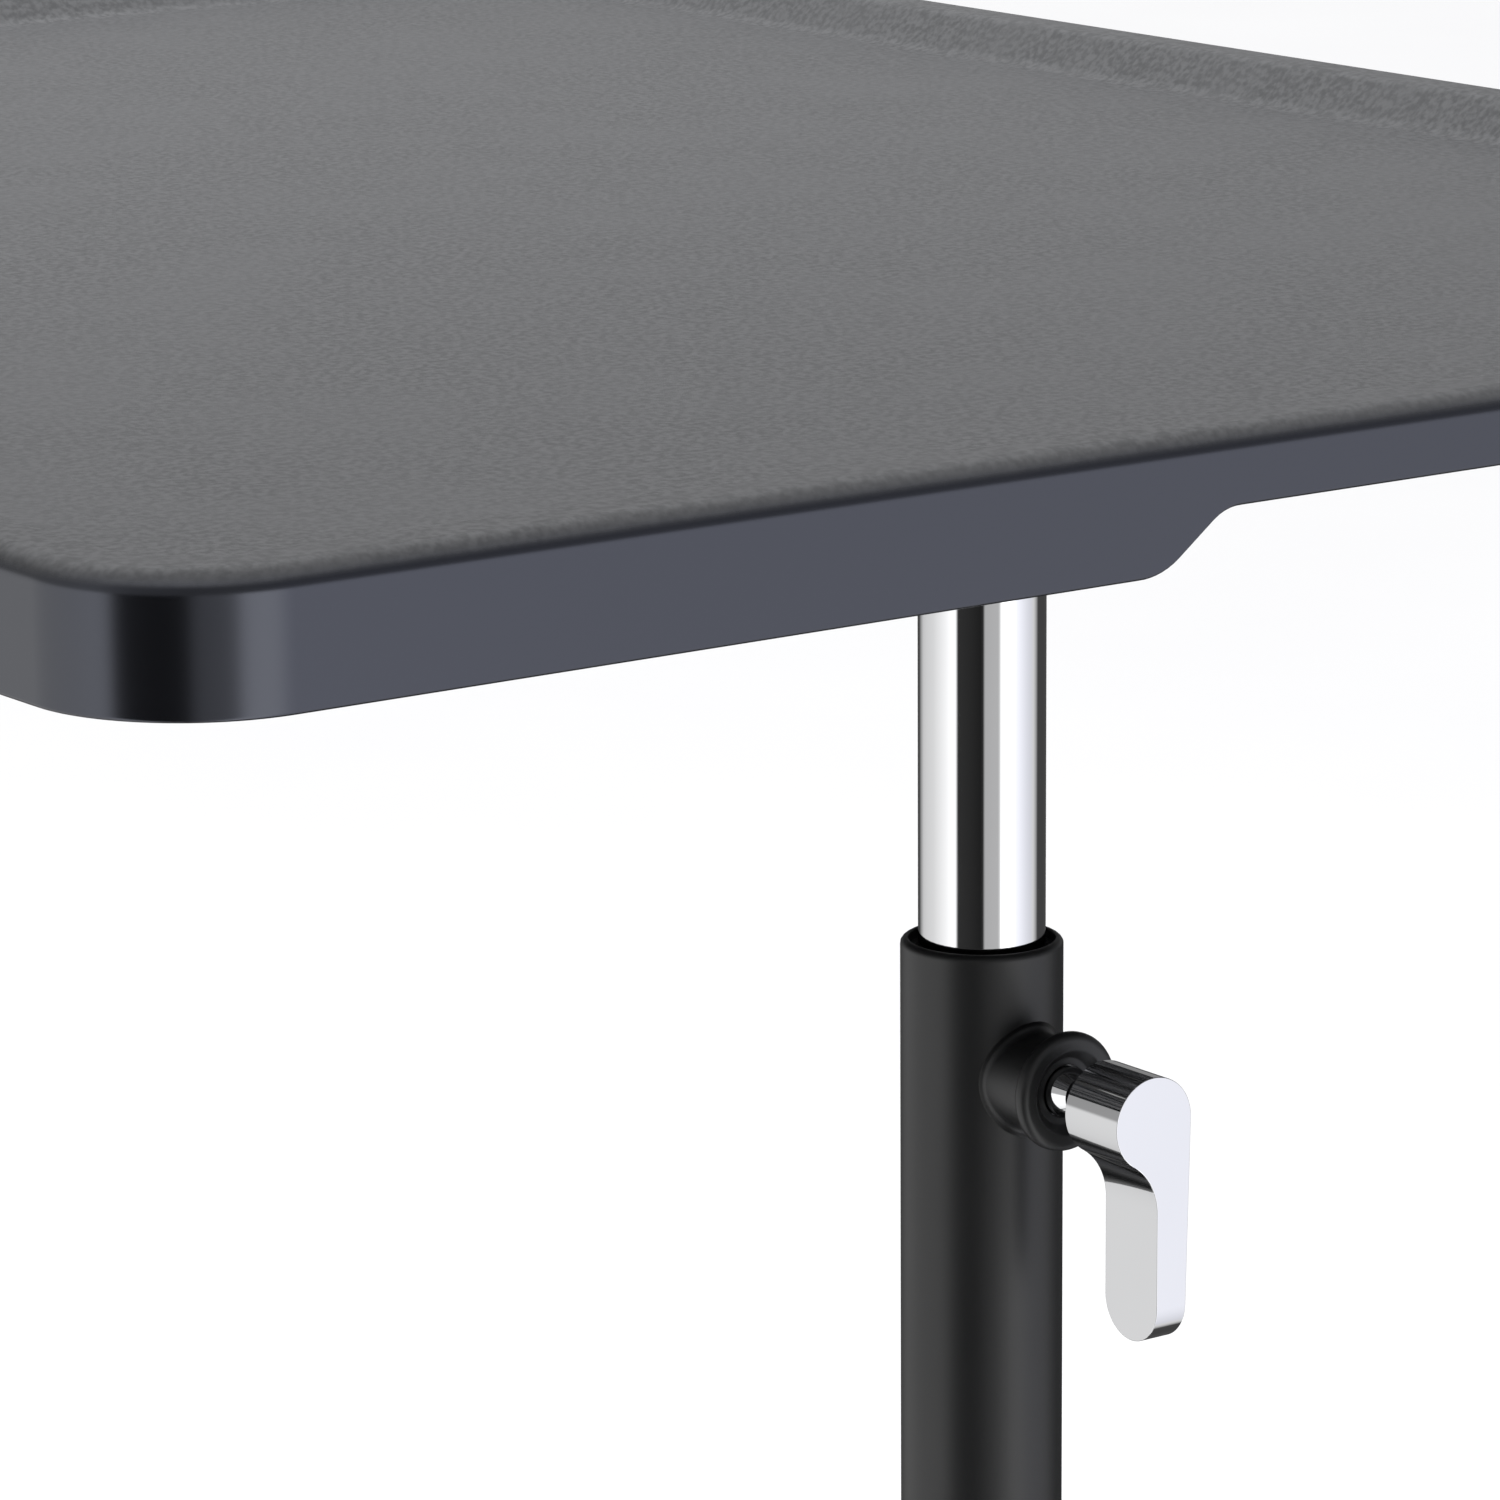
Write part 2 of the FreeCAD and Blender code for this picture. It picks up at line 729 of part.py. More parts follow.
def make_glide():
    """The sleeve at the tube's foot, between the end plug's flange and a clip in the groove."""
    bore = "inner_radius + running_gap"
    sleeve = turned("sleeve_body", [
        (bore, "0"),
        (f"{bore} + sleeve_wall - sleeve_chamfer", "0"),
        (f"{bore} + sleeve_wall", "sleeve_lead"),
        (f"{bore} + sleeve_wall", "sleeve_length - sleeve_lead"),
        (f"{bore} + sleeve_wall - sleeve_chamfer", "sleeve_length"),
        (bore, "sleeve_length"),
    ])
    finish(sleeve, "glide_sleeve", ("0", "column_y", "inner_bottom + plug_flange + end_play"))

    plug = turned("plug_body", [
        ("0", "0"),
        ("inner_radius + guide_overhang - plug_bevel", "0"),
        ("inner_radius + guide_overhang", "plug_lead"),
        ("inner_radius + guide_overhang", "plug_flange"),
        ("inner_bore", "plug_flange"),
        ("inner_bore", "plug_flange + plug_depth - plug_lead"),
        ("inner_bore - plug_lead", "plug_flange + plug_depth"),
        ("0", "plug_flange + plug_depth"),
    ])
    finish(plug, "tube_end_plug", ("0", "column_y", "inner_bottom"))

    level = "inner_bottom + plug_flange + sleeve_length + 2 * end_play"
    at = ("0", "column_y", level)
    ring = rod("clip_outer", "inner_radius + guide_overhang", "clip_thickness", at)
    seat = rod("clip_seat", "inner_radius - groove_depth", "clip_thickness", at)
    mouth_at = ("-clip_gap / 2", "column_y", level)
    mouth = block("clip_mouth", ("clip_gap", "outer_radius", "clip_thickness"), mouth_at)
    finish(cut("clip", ring, seat, mouth), "glide_clip")


CLAMP_LEVEL = "rim_height - clamp_drop"


def make_outer_tube():
    """The black tube: a rounded lip at the top and a hole for the clamp's pressure pad."""
    body = new_body("outer_tube_body")
    sketch = new_sketch(body, "outer_tube_outline", "XZ_Plane")
    length = "rim_height - leg_bottom - leg_height"
    polygon(sketch, [
        ("outer_bore", "0"),
        ("outer_radius", "0"),
        ("outer_radius", length),
        ("outer_bore", length),
    ])
    feature = revolve(body, sketch)
    top = flat_at(value(length))
    lip = lambda edge: top(edge) and edge.BoundBox.XMax > value("outer_radius") - LOOSE
    feature = dress(body, "Fillet", feature, "lip_rounding", lip)
    place(body, ("0", "column_y", "leg_bottom + leg_height"))
    drill = pad_drill("outer_tube_drill")
    finish(cut("outer_tube", body, drill), "outer_column_tube")


def pad_drill(name):
    """The hole through the tube's wall and the bush on the clamp's axis."""
    return rod(name, "pad_hole", "outer_radius", ("0", "column_y - inner_radius / 2", CLAMP_LEVEL), "-y")


def make_guide_bush():
    """The plastic bush in the outer tube's mouth, a little below the lip."""
    body = turned("bush_body", [
        ("inner_radius + running_gap", "0"),
        ("outer_bore", "0"),
        ("outer_bore", "bush_length"),
        ("inner_radius + running_gap + bush_chamfer", "bush_length"),
        ("inner_radius + running_gap", "bush_length - bush_lead"),
    ])
    place(body, ("0", "column_y", "rim_height - bush_recess - bush_length"))
    finish(cut("bush", body, pad_drill("bush_drill")), "column_guide_bush")


# ---------------------------------------------------------------- clamp

def make_clamp_boss():
    """The boss welded to the outer tube, flared by its weld, and bored for the thread insert."""
    axis_at = ("0", "column_y", CLAMP_LEVEL)
    boss = rod("boss_rod", "clamp_boss_radius", "clamp_boss_end", axis_at, "-y")
    at = ("0", "column_y", f"{CLAMP_LEVEL} - 2 * outer_radius")
    column = rod("boss_column", "outer_radius", "4 * outer_radius", at)
    both = join("boss_and_column", column, boss)
    DOC.recompute()
    flare = DOC.addObject("Part::Fillet", "boss_flare")
    flare.Base = both
    radius = value("weld_radius")

    def seam(edge):
        box = edge.BoundBox
        return min(box.XLength, box.YLength, box.ZLength) > LOOSE

    flare.Edges = [(i, radius, radius) for i, edge in enumerate(both.Shape.Edges, start=1) if seam(edge)]
    saddle = rod("boss_saddle", "outer_radius", "4 * outer_radius", at)
    bore = rod("boss_bore", "insert_radius", "clamp_boss_end", axis_at, "-y")
    finish(cut("boss", flare, saddle, bore), "clamp_boss")


def make_boss_ring():
    """The slightly larger ring on the boss's end, dished, with the hole for the spindle's collar."""
    body = new_body("ring_body")
    sketch = new_sketch(body, "ring_outline", "YZ_Plane")
    polygon(sketch, [
        ("-clamp_boss_end", "collar_bore"),
        ("-clamp_boss_end", "ring_radius"),
        ("-ring_end", "ring_radius"),
        ("-ring_end", "dish_radius"),
        ("dish_depth - ring_end", "dish_floor_radius"),
        ("dish_depth - ring_end", "collar_bore"),
    ])
    feature = revolve(body, sketch, "H_Axis")

    def rim(edge):
        return edge.BoundBox.YLength < CLOSE and edge.BoundBox.ZMax > value("ring_radius") - CLOSE

    dress(body, "Fillet", feature, "ring_rounding", rim)
    finish(body, "boss_end_ring", ("0", "column_y", CLAMP_LEVEL))


def make_thread_insert():
    """The threaded steel sleeve inside the boss."""
    length = "clamp_boss_end - insert_start"
    at = ("0", "column_y - insert_start", CLAMP_LEVEL)
    outer = rod("insert_outer", "insert_radius", length, at, "-y")
    inner = rod("insert_inner", "stud_radius + running_gap", length, at, "-y")
    finish(cut("insert", outer, inner), "thread_insert")


def make_pressure_pad():
    """The brass pad that the stud presses on the chrome tube, hollowed to fit round it."""
    length = "outer_radius - inner_radius / 2"
    blank = rod("pad_blank", "pad_radius", length, ("0", "column_y - inner_radius / 2", CLAMP_LEVEL), "-y")
    at = ("0", "column_y", f"{CLAMP_LEVEL} - outer_radius")
    seat = rod("pad_seat", "inner_radius + pad_gap", "2 * outer_radius", at)
    finish(cut("pad", blank, seat), "pressure_pad")


def make_spindle():
    """The stud, collar and shoulder between the pressure pad and the lever's hub."""
    body = turned("spindle_body", [
        ("-stud_tip", "0"),
        ("-stud_tip", "stud_radius - stud_chamfer"),
        ("-stud_tip - stud_chamfer", "stud_radius"),
        ("-collar_start", "stud_radius"),
        ("-collar_start", "collar_radius"),
        ("-shoulder_start", "collar_radius"),
        ("-shoulder_start", "shoulder_radius - shoulder_chamfer"),
        ("-shoulder_start - shoulder_chamfer", "shoulder_radius"),
        ("lever_breadth - lever_front", "shoulder_radius"),
        ("lever_breadth - lever_front", "0"),
    ], axis="H_Axis", role="YZ_Plane")
    finish(body, "clamp_spindle", ("0", "column_y", CLAMP_LEVEL))


def make_lever():
    """The chrome lever: a round hub that runs through a concave throat into a flat hanging arm."""
    body = new_body("lever_body")
    sketch = new_sketch(body, "lever_outline", "XZ_Plane", "lever_front")
    lever_outline(sketch)
    feature = pad(body, sketch, "lever_breadth", flipped=True)
    bottom = value("-lever_reach")
    foot = lambda edge: flat_at(bottom)(edge) and edge.BoundBox.XLength > LOOSE
    feature = dress(body, "Fillet", feature, "(lever_breadth - lever_foot_flat) / 2", foot)
    rear = value("lever_breadth - lever_front")

    def hub_rear(edge):
        box = edge.BoundBox
        return near(box.YMin, rear) and near(box.YMax, rear) and box.ZMin > -value("hub_radius")

    def face_edge(edge):
        box = edge.BoundBox
        front = value("-lever_front")
        return near(box.YMin, front, LOOSE) and near(box.YMax, front, LOOSE)

    feature = dress(body, "Chamfer", feature, "hub_chamfer", hub_rear)
    dress(body, "Fillet", feature, "lever_edge", face_edge)
    finish(body, "clamp_lever", ("hub_x", "column_y", f"{CLAMP_LEVEL} - hub_drop"))


def lever_outline(sketch):
    """The front view: the hub's circle, the throat's arc tangent to it, and the arm."""
    hub = value("hub_radius")
    throat = value("throat_radius")
    left = value("arm_left")
    reach = value("lever_reach")
    right = value("arm_right")
    throat_x = left - throat
    throat_z = -math.sqrt((hub + throat) ** 2 - throat_x ** 2)
    scale = hub / (hub + throat)
    meet = Vector(throat_x * scale, throat_z * scale, 0)
    lean = math.asin((hub - right) / reach)
    side = Vector(hub * math.cos(lean), -hub * math.sin(lean), 0)
    crown = Vector(0, hub, 0)
    throat_top = math.atan2(-throat_z, -throat_x) / 2
    belly = Vector(throat_x + throat * math.cos(throat_top), throat_z + throat * math.sin(throat_top), 0)
    waist = Vector(left, throat_z, 0)
    low_left = Vector(left, -reach, 0)
    low_right = Vector(right, -reach, 0)
    arc = sketch.addGeometry(Part.Arc(side, crown, meet), False)
    neck = sketch.addGeometry(Part.Arc(meet, belly, waist), False)
    inner = sketch.addGeometry(Part.LineSegment(waist, low_left), False)
    base = sketch.addGeometry(Part.LineSegment(low_left, low_right), False)
    outer = sketch.addGeometry(Part.LineSegment(low_right, side), False)
    smooth = ({arc, neck}, {neck, inner}, {arc, outer})
    for first, second in touching_ends(sketch, arc, neck, inner, base, outer):
        kind = "Tangent" if {first[0], second[0]} in smooth else "Coincident"
        sketch.addConstraint(Sketcher.Constraint(kind, *first, *second))
    sketch.addConstraint(Sketcher.Constraint("Coincident", arc, 3, -1, 1))
    sketch.addConstraint(Sketcher.Constraint("Vertical", inner))
    for element, text in ((arc, "hub_radius"), (neck, "throat_radius")):
        index = sketch.addConstraint(Sketcher.Constraint("Radius", element, value(text)))
        bind(sketch, f"Constraints[{index}]", text)
    pin_point(sketch, base, 1, "arm_left", "-lever_reach")
    pin_point(sketch, base, 2, "arm_right", "-lever_reach")


def touching_ends(sketch, *elements):
    """Each pair of element ends that lie on one another, in order round the outline."""
    ends = [(element, point) for element in elements for point in (1, 2)]
    pairs = []
    for i, first in enumerate(ends):
        for second in ends[i + 1:]:
            gap = sketch.getPoint(*first).distanceToPoint(sketch.getPoint(*second))
            if first[0] != second[0] and gap < CLOSE:
                pairs.append((first, second))
    return pairs


# ---------------------------------------------------------------- base

LEG_BORE = ("leg_width - 2 * leg_wall", "leg_height - 2 * leg_wall", "leg_corner - leg_wall")


def make_legs():
    """Two rectangular tubes along the floor, each with holes for its two castor stems."""
    for side, sign in SIDES.items():
        body = new_body(f"leg_{side}_body")
        sketch = new_sketch(body, f"leg_{side}_section", "XZ_Plane")
        rounded_rectangle(sketch, "leg_width", "leg_height", "leg_corner")
        rounded_rectangle(sketch, *LEG_BORE)
        pad(body, sketch, "leg_length", flipped=True)
        place(body, (f"{sign} * leg_x", "leg_start", "leg_bottom + leg_height / 2"))
        at = [(x, y, "leg_bottom - leg_wall") for x, y in CASTORS.values() if same_side(x, sign)]
        drills = drill_each(f"leg_{side}_drill", "stem_radius", "2 * leg_wall", at)
        finish(cut(f"leg_{side}", body, *drills), f"leg_{side}")


def make_leg_caps():
    """Plastic plugs with a lip that close the ends of the legs."""
    caps = []
    for side, sign in SIDES.items():
        ends = (("rear", "leg_start", 1), ("front", "leg_start + leg_length", -1))
        for end, y, inward in ends:
            body = new_body(f"leg_cap_{side}_{end}_body")
            face = new_sketch(body, f"leg_cap_{side}_{end}_face", "XZ_Plane")
            rounded_rectangle(face, "leg_width", "leg_height", "leg_corner")
            feature = pad(body, face, "cap_lip", flipped=inward < 0)
            plug = new_sketch(body, f"leg_cap_{side}_{end}_plug", "XZ_Plane")
            rounded_rectangle(plug, *LEG_BORE)
            pad(body, plug, "leg_cap_depth", flipped=inward > 0)
            place(body, (f"{sign} * leg_x", y, "leg_bottom + leg_height / 2"))
            caps.append(body)
    finish(group("leg_cap_set", *caps), "leg_end_caps")


def bolt_places():
    return [(f"{i} * bolt_x", f"column_y + {j} * bolt_y") for i in (-1, 1) for j in (-1, 1)]


def make_cross_beam():
    """The beam between the legs that carries the column."""
    length = "2 * leg_x - leg_width"
    at = ("leg_width / 2 - leg_x", "column_y - beam_width / 2", "leg_bottom")
    outer = block("beam_outer", (length, "beam_width", "leg_height"), at)
    size = (length, "beam_width - 2 * beam_wall", "leg_height - 2 * beam_wall")
    inner_at = (at[0], f"{at[1]} + beam_wall", "leg_bottom + beam_wall")
    inner = block("beam_inner", size, inner_at)
    holes = [(x, y, "leg_bottom") for x, y in bolt_places()]
    drills = drill_each("beam_drill", "bolt_radius", "leg_height", holes)
    finish(cut("beam", outer, inner, *drills), "cross_beam")


def make_column_flange():
    """The plate and weld round the column's foot, on top of the cross beam."""
    body = new_body("flange_body")
    sketch = new_sketch(body, "flange_outline", "XY_Plane")
    rounded_rectangle(sketch, "flange_width", "flange_depth", "flange_corner")
    circle(sketch, "0", "0", "outer_radius")
    for i, j in ((-1, -1), (-1, 1), (1, -1), (1, 1)):
        circle(sketch, f"{i} * bolt_x", f"{j} * bolt_y", "bolt_radius")
    pad(body, sketch, "flange_thickness")
    weld = new_sketch(body, "flange_weld_outline", "XZ_Plane")
    polygon(weld, [
        ("outer_radius", "flange_thickness"),
        ("outer_radius + flange_weld", "flange_thickness"),
        ("outer_radius", "flange_thickness + flange_weld"),
    ])
    revolve(body, weld)
    finish(body, "column_flange", ("0", "column_y", "leg_bottom + leg_height"))


def make_flange_bolts():
    """Four hexagon bolts down through the flange and the beam, with nuts below."""
    bolts = []
    nuts = []
    top = "leg_bottom + leg_height + flange_thickness"
    low = "leg_bottom - bolt_nut_height"
    for i, (x, y) in enumerate(bolt_places()):
        shank = rod(f"bolt_shank_{i}", "bolt_radius", f"{top} - ({low})", (x, y, low))
        head = hexagon(f"bolt_head_{i}", "bolt_head_radius", "bolt_head_height", (x, y, top))
        bolts.append(join(f"bolt_{i}", shank, head))
        blank = hexagon(f"bolt_nut_blank_{i}", "bolt_head_radius", "bolt_nut_height", (x, y, low))
        hole = rod(f"bolt_nut_hole_{i}", "bolt_radius", "bolt_nut_height", (x, y, low))
        nuts.append(cut(f"bolt_nut_{i}", blank, hole))
    finish(group("bolt_set", *bolts), "flange_bolts")
    finish(group("nut_set", *nuts), "flange_nuts")


# ---------------------------------------------------------------- castors

def make_stem(name, at):
    """The fixed pin of a castor: rivet head below the fork, collar above it, thread in the leg."""
    head_bottom = "fork_under - stem_head_height - end_play"
    body = turned(f"{name}_stem_body", [
        ("0", head_bottom),
        ("stem_head - stem_chamfer", head_bottom),
        ("stem_head", f"{head_bottom} + stem_chamfer"),
        ("stem_head", "fork_under - end_play"),
        ("stem_radius", "fork_under - end_play"),
        ("stem_radius", "stem_collar_bottom"),
        ("stem_collar", "stem_collar_bottom"),
        ("stem_collar", "stem_collar_bottom + stem_collar_height"),
        ("stem_collar - stem_collar_taper", "leg_bottom"),
        ("stem_radius", "leg_bottom"),
        ("stem_radius", "stem_top - stem_chamfer"),
        ("stem_radius - stem_chamfer", "stem_top"),
        ("0", "stem_top"),
    ])
    finish(body, f"{name}_stem", at)


def make_fork(name, at):
    """The swivelling fork: a crown under the stem's collar and two cheeks that hold the axle."""
    body = new_body(f"{name}_fork_body")
    side = new_sketch(body, f"{name}_fork_side", "YZ_Plane")
    polygon(side, [
        ("-trail - fork_eye", "fork_top"),
        ("fork_front", "fork_top"),
        ("fork_front", "pedal_z - pedal_hub"),
        ("fork_eye_slant - trail", "wheel_radius - fork_eye_slant"),
        ("-trail", "wheel_radius - fork_eye"),
        ("-trail - fork_eye_slant", "wheel_radius - fork_eye_slant"),
        ("-trail - fork_eye", "wheel_radius"),
    ])
    feature = pad(body, side, "2 * cheek_outer", midplane=True)
    gap = new_sketch(body, f"{name}_fork_gap", "YZ_Plane")
    polygon(gap, [
        ("-3 * trail", "-fork_eye"),
        ("3 * trail", "-fork_eye"),
        ("3 * trail", "fork_under"),
        ("-3 * trail", "fork_under"),
    ])
    feature = pocket(body, gap, "2 * cheek_inner", midplane=True)
    pins = new_sketch(body, f"{name}_fork_pins", "YZ_Plane")
    circle(pins, "-trail", "wheel_radius", "axle_radius")
    circle(pins, "pedal_y", "pedal_z", "pedal_pin + running_gap")
    feature = pocket(body, pins, "3 * cheek_outer", midplane=True)
    stem = new_sketch(body, f"{name}_fork_stem", "XY_Plane", "fork_top")
    circle(stem, "0", "0", "stem_radius + running_gap")
    feature = pocket(body, stem, "2 * (fork_top - fork_under)")
    top = value("fork_top")

    def crown(edge):
        box = edge.BoundBox
        return near(box.ZMin, top) and box.YLength > value("fork_front") and box.XLength < CLOSE

    dress(body, "Fillet", feature, "crown_rounding", crown)
    finish(body, f"{name}_fork", at)


def make_wheel(name, at):
    """The wheel's plastic centre and its tyre, on a riveted axle."""
    tread = "wheel_radius - tyre_depth"
    rim_half = "tyre_width / 2 - tyre_overlap"
    wheel = turned(f"{name}_wheel_body", [
        ("-hub_half", "axle_radius + running_gap"),
        ("-hub_half", "hub_outer"),
        ("-web_half", "hub_outer + web_root"),
        ("-web_half", f"{tread} - rim_wall - rim_slope"),
        (f"-({rim_half})", f"{tread} - rim_wall"),
        (f"-({rim_half})", tread),
        (rim_half, tread),
        (rim_half, f"{tread} - rim_wall"),
        ("web_half", f"{tread} - rim_wall - rim_slope"),
        ("web_half", "hub_outer + web_root"),
        ("hub_half", "hub_outer"),
        ("hub_half", "axle_radius + running_gap"),
    ], axis="H_Axis", role="XY_Plane")
    finish(wheel, f"{name}_wheel", at)

    tyre = new_body(f"{name}_tyre_body")
    sketch = new_sketch(tyre, f"{name}_tyre_outline", "XY_Plane")
    polygon(sketch, [
        ("-tyre_width / 2", tread),
        ("-tyre_width / 2", "wheel_radius"),
        ("tyre_width / 2", "wheel_radius"),
        ("tyre_width / 2", tread),
    ])
    feature = revolve(tyre, sketch, "H_Axis")

    def shoulder(edge):
        box = edge.BoundBox
        return box.YLength > value("2 * wheel_radius") - LOOSE and box.XLength < CLOSE

    dress(tyre, "Fillet", feature, "tyre_rounding", shoulder)
    finish(tyre, f"{name}_tyre", at)

    head = "cheek_outer + axle_head_thickness"
    axle = turned(f"{name}_axle_body", [
        (f"-({head})", "0"),
        (f"-({head})", "axle_head - axle_chamfer"),
        (f"axle_chamfer - ({head})", "axle_head"),
        ("-cheek_outer", "axle_head"),
        ("-cheek_outer", "axle_radius"),
        ("cheek_outer", "axle_radius"),
        ("cheek_outer", "axle_head"),
        (f"{head} - axle_chamfer", "axle_head"),
        (head, "axle_head - axle_chamfer"),
        (head, "0"),
    ], axis="H_Axis", role="XY_Plane")
    finish(axle, f"{name}_axle", at)


def make_pedal(name, at):
    """The brake pedal: a tongue to press, trunnions in the fork, and a shoe against the tyre."""
    body = new_body(f"{name}_pedal_body")
    run = value("pedal_y + trail")
    rise = value("pedal_z - wheel_radius")
    gap = math.hypot(run, rise)
    towards = (-run / gap, -rise / gap)
    nose = gap - value("wheel_radius + shoe_gap")
    across = (-towards[1], towards[0])
    sides = (value("shoe_lead"), value("-shoe_heel"))
    tip = [(towards[0] * nose + across[0] * k, towards[1] * nose + across[1] * k) for k in sides]
    side = new_sketch(body, f"{name}_pedal_side", "YZ_Plane")
    polygon(side, [
        ("-pedal_heel", "pedal_hub"),
        ("pedal_hub", "pedal_hub"),
        ("pedal_reach", "pedal_thickness - pedal_drop"),
        ("pedal_reach", "-pedal_drop"),
        ("pedal_hub", "-pedal_hub"),
        (str(round(tip[0][0], 3)), str(round(tip[0][1], 3))),
        (str(round(tip[1][0], 3)), str(round(tip[1][1], 3))),
    ])
    feature = pad(body, side, "2 * pedal_half_width", midplane=True)
    pin = new_sketch(body, f"{name}_pedal_pin", "YZ_Plane")
    circle(pin, "0", "0", "pedal_pin")
    pad(body, pin, "2 * (cheek_outer - pin_setback)", midplane=True)
    finish(body, f"{name}_brake_pedal", at)


def make_castors():
    for name, (x, y) in CASTORS.items():
        label = f"castor_{name}"
        make_stem(label, (x, y, "0"))
        make_fork(label, (x, y, "0"))
        make_wheel(label, (x, f"{y} - trail", "wheel_radius"))
        make_pedal(label, (x, f"{y} + pedal_y", "pedal_z"))


def make_stem_nuts():
    """The nuts inside the legs that hold the castor stems."""
    nuts = []
    level = "leg_bottom + leg_wall"
    for name, (x, y) in CASTORS.items():
        blank = hexagon(f"stem_nut_blank_{name}", "stem_nut_radius", "stem_nut_height", (x, y, level))
        hole = rod(f"stem_nut_hole_{name}", "stem_radius", "stem_nut_height", (x, y, level))
        nuts.append(cut(f"stem_nut_{name}", blank, hole))
    finish(group("stem_nut_set", *nuts), "castor_stem_nuts")


# ---------------------------------------------------------------- build and export

def check_document():
    """Stop if anything in the document failed or a sub-part has no sound shape."""
    DOC.recompute()
    for thing in DOC.Objects:
        if {"Invalid", "Error"} & set(thing.State):
            raise RuntimeError(f"{thing.Name} failed: {thing.State}")
    for thing in SUBPARTS:
        if thing.Shape.isNull() or not thing.Shape.isValid() or not thing.Shape.Solids:
            raise RuntimeError(f"{thing.Label} has no sound shape")


def export():
    os.makedirs("parts", exist_ok=True)
    for thing in SUBPARTS:
        thing.Shape.exportStep(f"parts/{thing.Label}.step")
    print(f"{len(SUBPARTS)} sub-parts written")


make_tray()
make_tray_arms()
make_arm_caps()
make_tray_screws()
make_mount_plate()
make_column_socket()
make_inner_tube()
make_glide()
make_outer_tube()
make_guide_bush()
make_clamp_boss()
make_boss_ring()
make_thread_insert()
make_pressure_pad()
make_spindle()
make_lever()
make_legs()
make_leg_caps()
make_cross_beam()
make_column_flange()
make_flange_bolts()
make_castors()
make_stem_nuts()
check_document()
export()
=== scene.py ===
"""Looks for the overbed table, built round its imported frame. Metres, +Z up, the same frame as the CAD."""
import json
import math

import bpy
from mathutils import Matrix, Vector
from mathutils.geometry import normal as facing


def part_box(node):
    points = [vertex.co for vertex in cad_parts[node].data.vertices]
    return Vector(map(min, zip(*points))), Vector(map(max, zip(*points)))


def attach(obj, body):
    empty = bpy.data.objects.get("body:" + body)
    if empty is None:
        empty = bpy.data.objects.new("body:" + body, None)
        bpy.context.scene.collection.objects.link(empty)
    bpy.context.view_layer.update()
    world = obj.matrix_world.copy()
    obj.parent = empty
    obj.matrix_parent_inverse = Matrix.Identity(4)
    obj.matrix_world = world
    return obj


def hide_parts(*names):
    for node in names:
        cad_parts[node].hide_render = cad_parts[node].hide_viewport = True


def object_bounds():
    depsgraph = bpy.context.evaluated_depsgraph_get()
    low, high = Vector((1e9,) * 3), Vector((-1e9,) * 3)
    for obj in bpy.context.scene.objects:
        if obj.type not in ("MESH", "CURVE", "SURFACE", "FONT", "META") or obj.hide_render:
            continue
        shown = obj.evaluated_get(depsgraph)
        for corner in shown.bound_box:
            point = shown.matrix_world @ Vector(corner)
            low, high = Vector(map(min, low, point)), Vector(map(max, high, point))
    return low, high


# The camera stands off the -X -Y corner of the tray. Its place is from the column's axis at the rim.
CAMERA_OFFSET = Vector((-0.82735, -1.06143, 0.34674))
CAMERA_HEADING = -36.017
CAMERA_PITCH = 12.942
CAMERA_ROLL = -0.3817
CAMERA_LENS = 170.634
SENSOR = 36.0

FLOOR_HALF = 40.0
HORIZON_WHITE = 1.15
CHROME_REFLECTANCE = 0.55
# The tray mesh's layer that says how much of the top's grain a place has, and so how much painted sheen:
# the paler grey colour that stands in for light on the upward faces.
GRAIN_AND_PAINTED_SHEEN_LAYER = "grain"

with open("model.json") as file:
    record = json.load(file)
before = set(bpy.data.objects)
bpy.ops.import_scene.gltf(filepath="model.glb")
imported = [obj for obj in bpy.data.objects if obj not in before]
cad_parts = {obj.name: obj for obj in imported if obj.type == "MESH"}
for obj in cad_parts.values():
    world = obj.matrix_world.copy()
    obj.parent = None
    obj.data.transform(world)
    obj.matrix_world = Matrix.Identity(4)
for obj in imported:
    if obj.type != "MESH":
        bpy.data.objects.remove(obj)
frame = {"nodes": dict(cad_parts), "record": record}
cad_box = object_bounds()


# ---------------------------------------------------------------- node helpers

def put(tree, kind, *values, **settings):
    """Add a shader node, set its properties, and feed its inputs in order; None leaves one alone."""
    made = tree.nodes.new("ShaderNode" + kind)
    for name, value in settings.items():
        setattr(made, name, value)
    for socket, value in zip(made.inputs, values):
        feed(tree, socket, value)
    return made


def feed(tree, socket, value):
    if value is None:
        return
    if isinstance(value, bpy.types.NodeSocket):
        tree.links.new(value, socket)
    else:
        socket.default_value = value


def maths(tree, operation, *values):
    return put(tree, "Math", *values, operation=operation).outputs[0]


def span(tree, value, low, high, to_low=0.0, to_high=1.0):
    """The value eased from one range to another, held at the ends."""
    made = put(tree, "MapRange", value, low, high, to_low, to_high, interpolation_type="SMOOTHSTEP")
    return made.outputs[0]


def blend(tree, share, first, second):
    """A mix of two colours."""
    made = tree.nodes.new("ShaderNodeMix")
    made.data_type = "RGBA"
    feed(tree, made.inputs["Factor"], share)
    feed(tree, made.inputs[6], first)
    feed(tree, made.inputs[7], second)
    return made.outputs[2]


def ramp(tree, value, stops):
    """A colour ramp with (place, colour) stops."""
    made = put(tree, "ValToRGB", value)
    elements = made.color_ramp.elements
    while len(elements) > 1:
        elements.remove(elements[-1])
    elements[0].position, elements[0].color = stops[0]
    for place, colour in stops[1:]:
        elements.new(place).color = colour
    return made.outputs[0]


def noise(tree, coords, cycles, detail=2.0, stretch=None):
    """Fractal noise with this many cycles a metre."""
    if stretch:
        coords = put(tree, "Mapping", coords, None, None, stretch).outputs[0]
    made = put(tree, "TexNoise", coords)
    made.inputs["Scale"].default_value = cycles
    made.inputs["Detail"].default_value = detail
    return made.outputs[0]


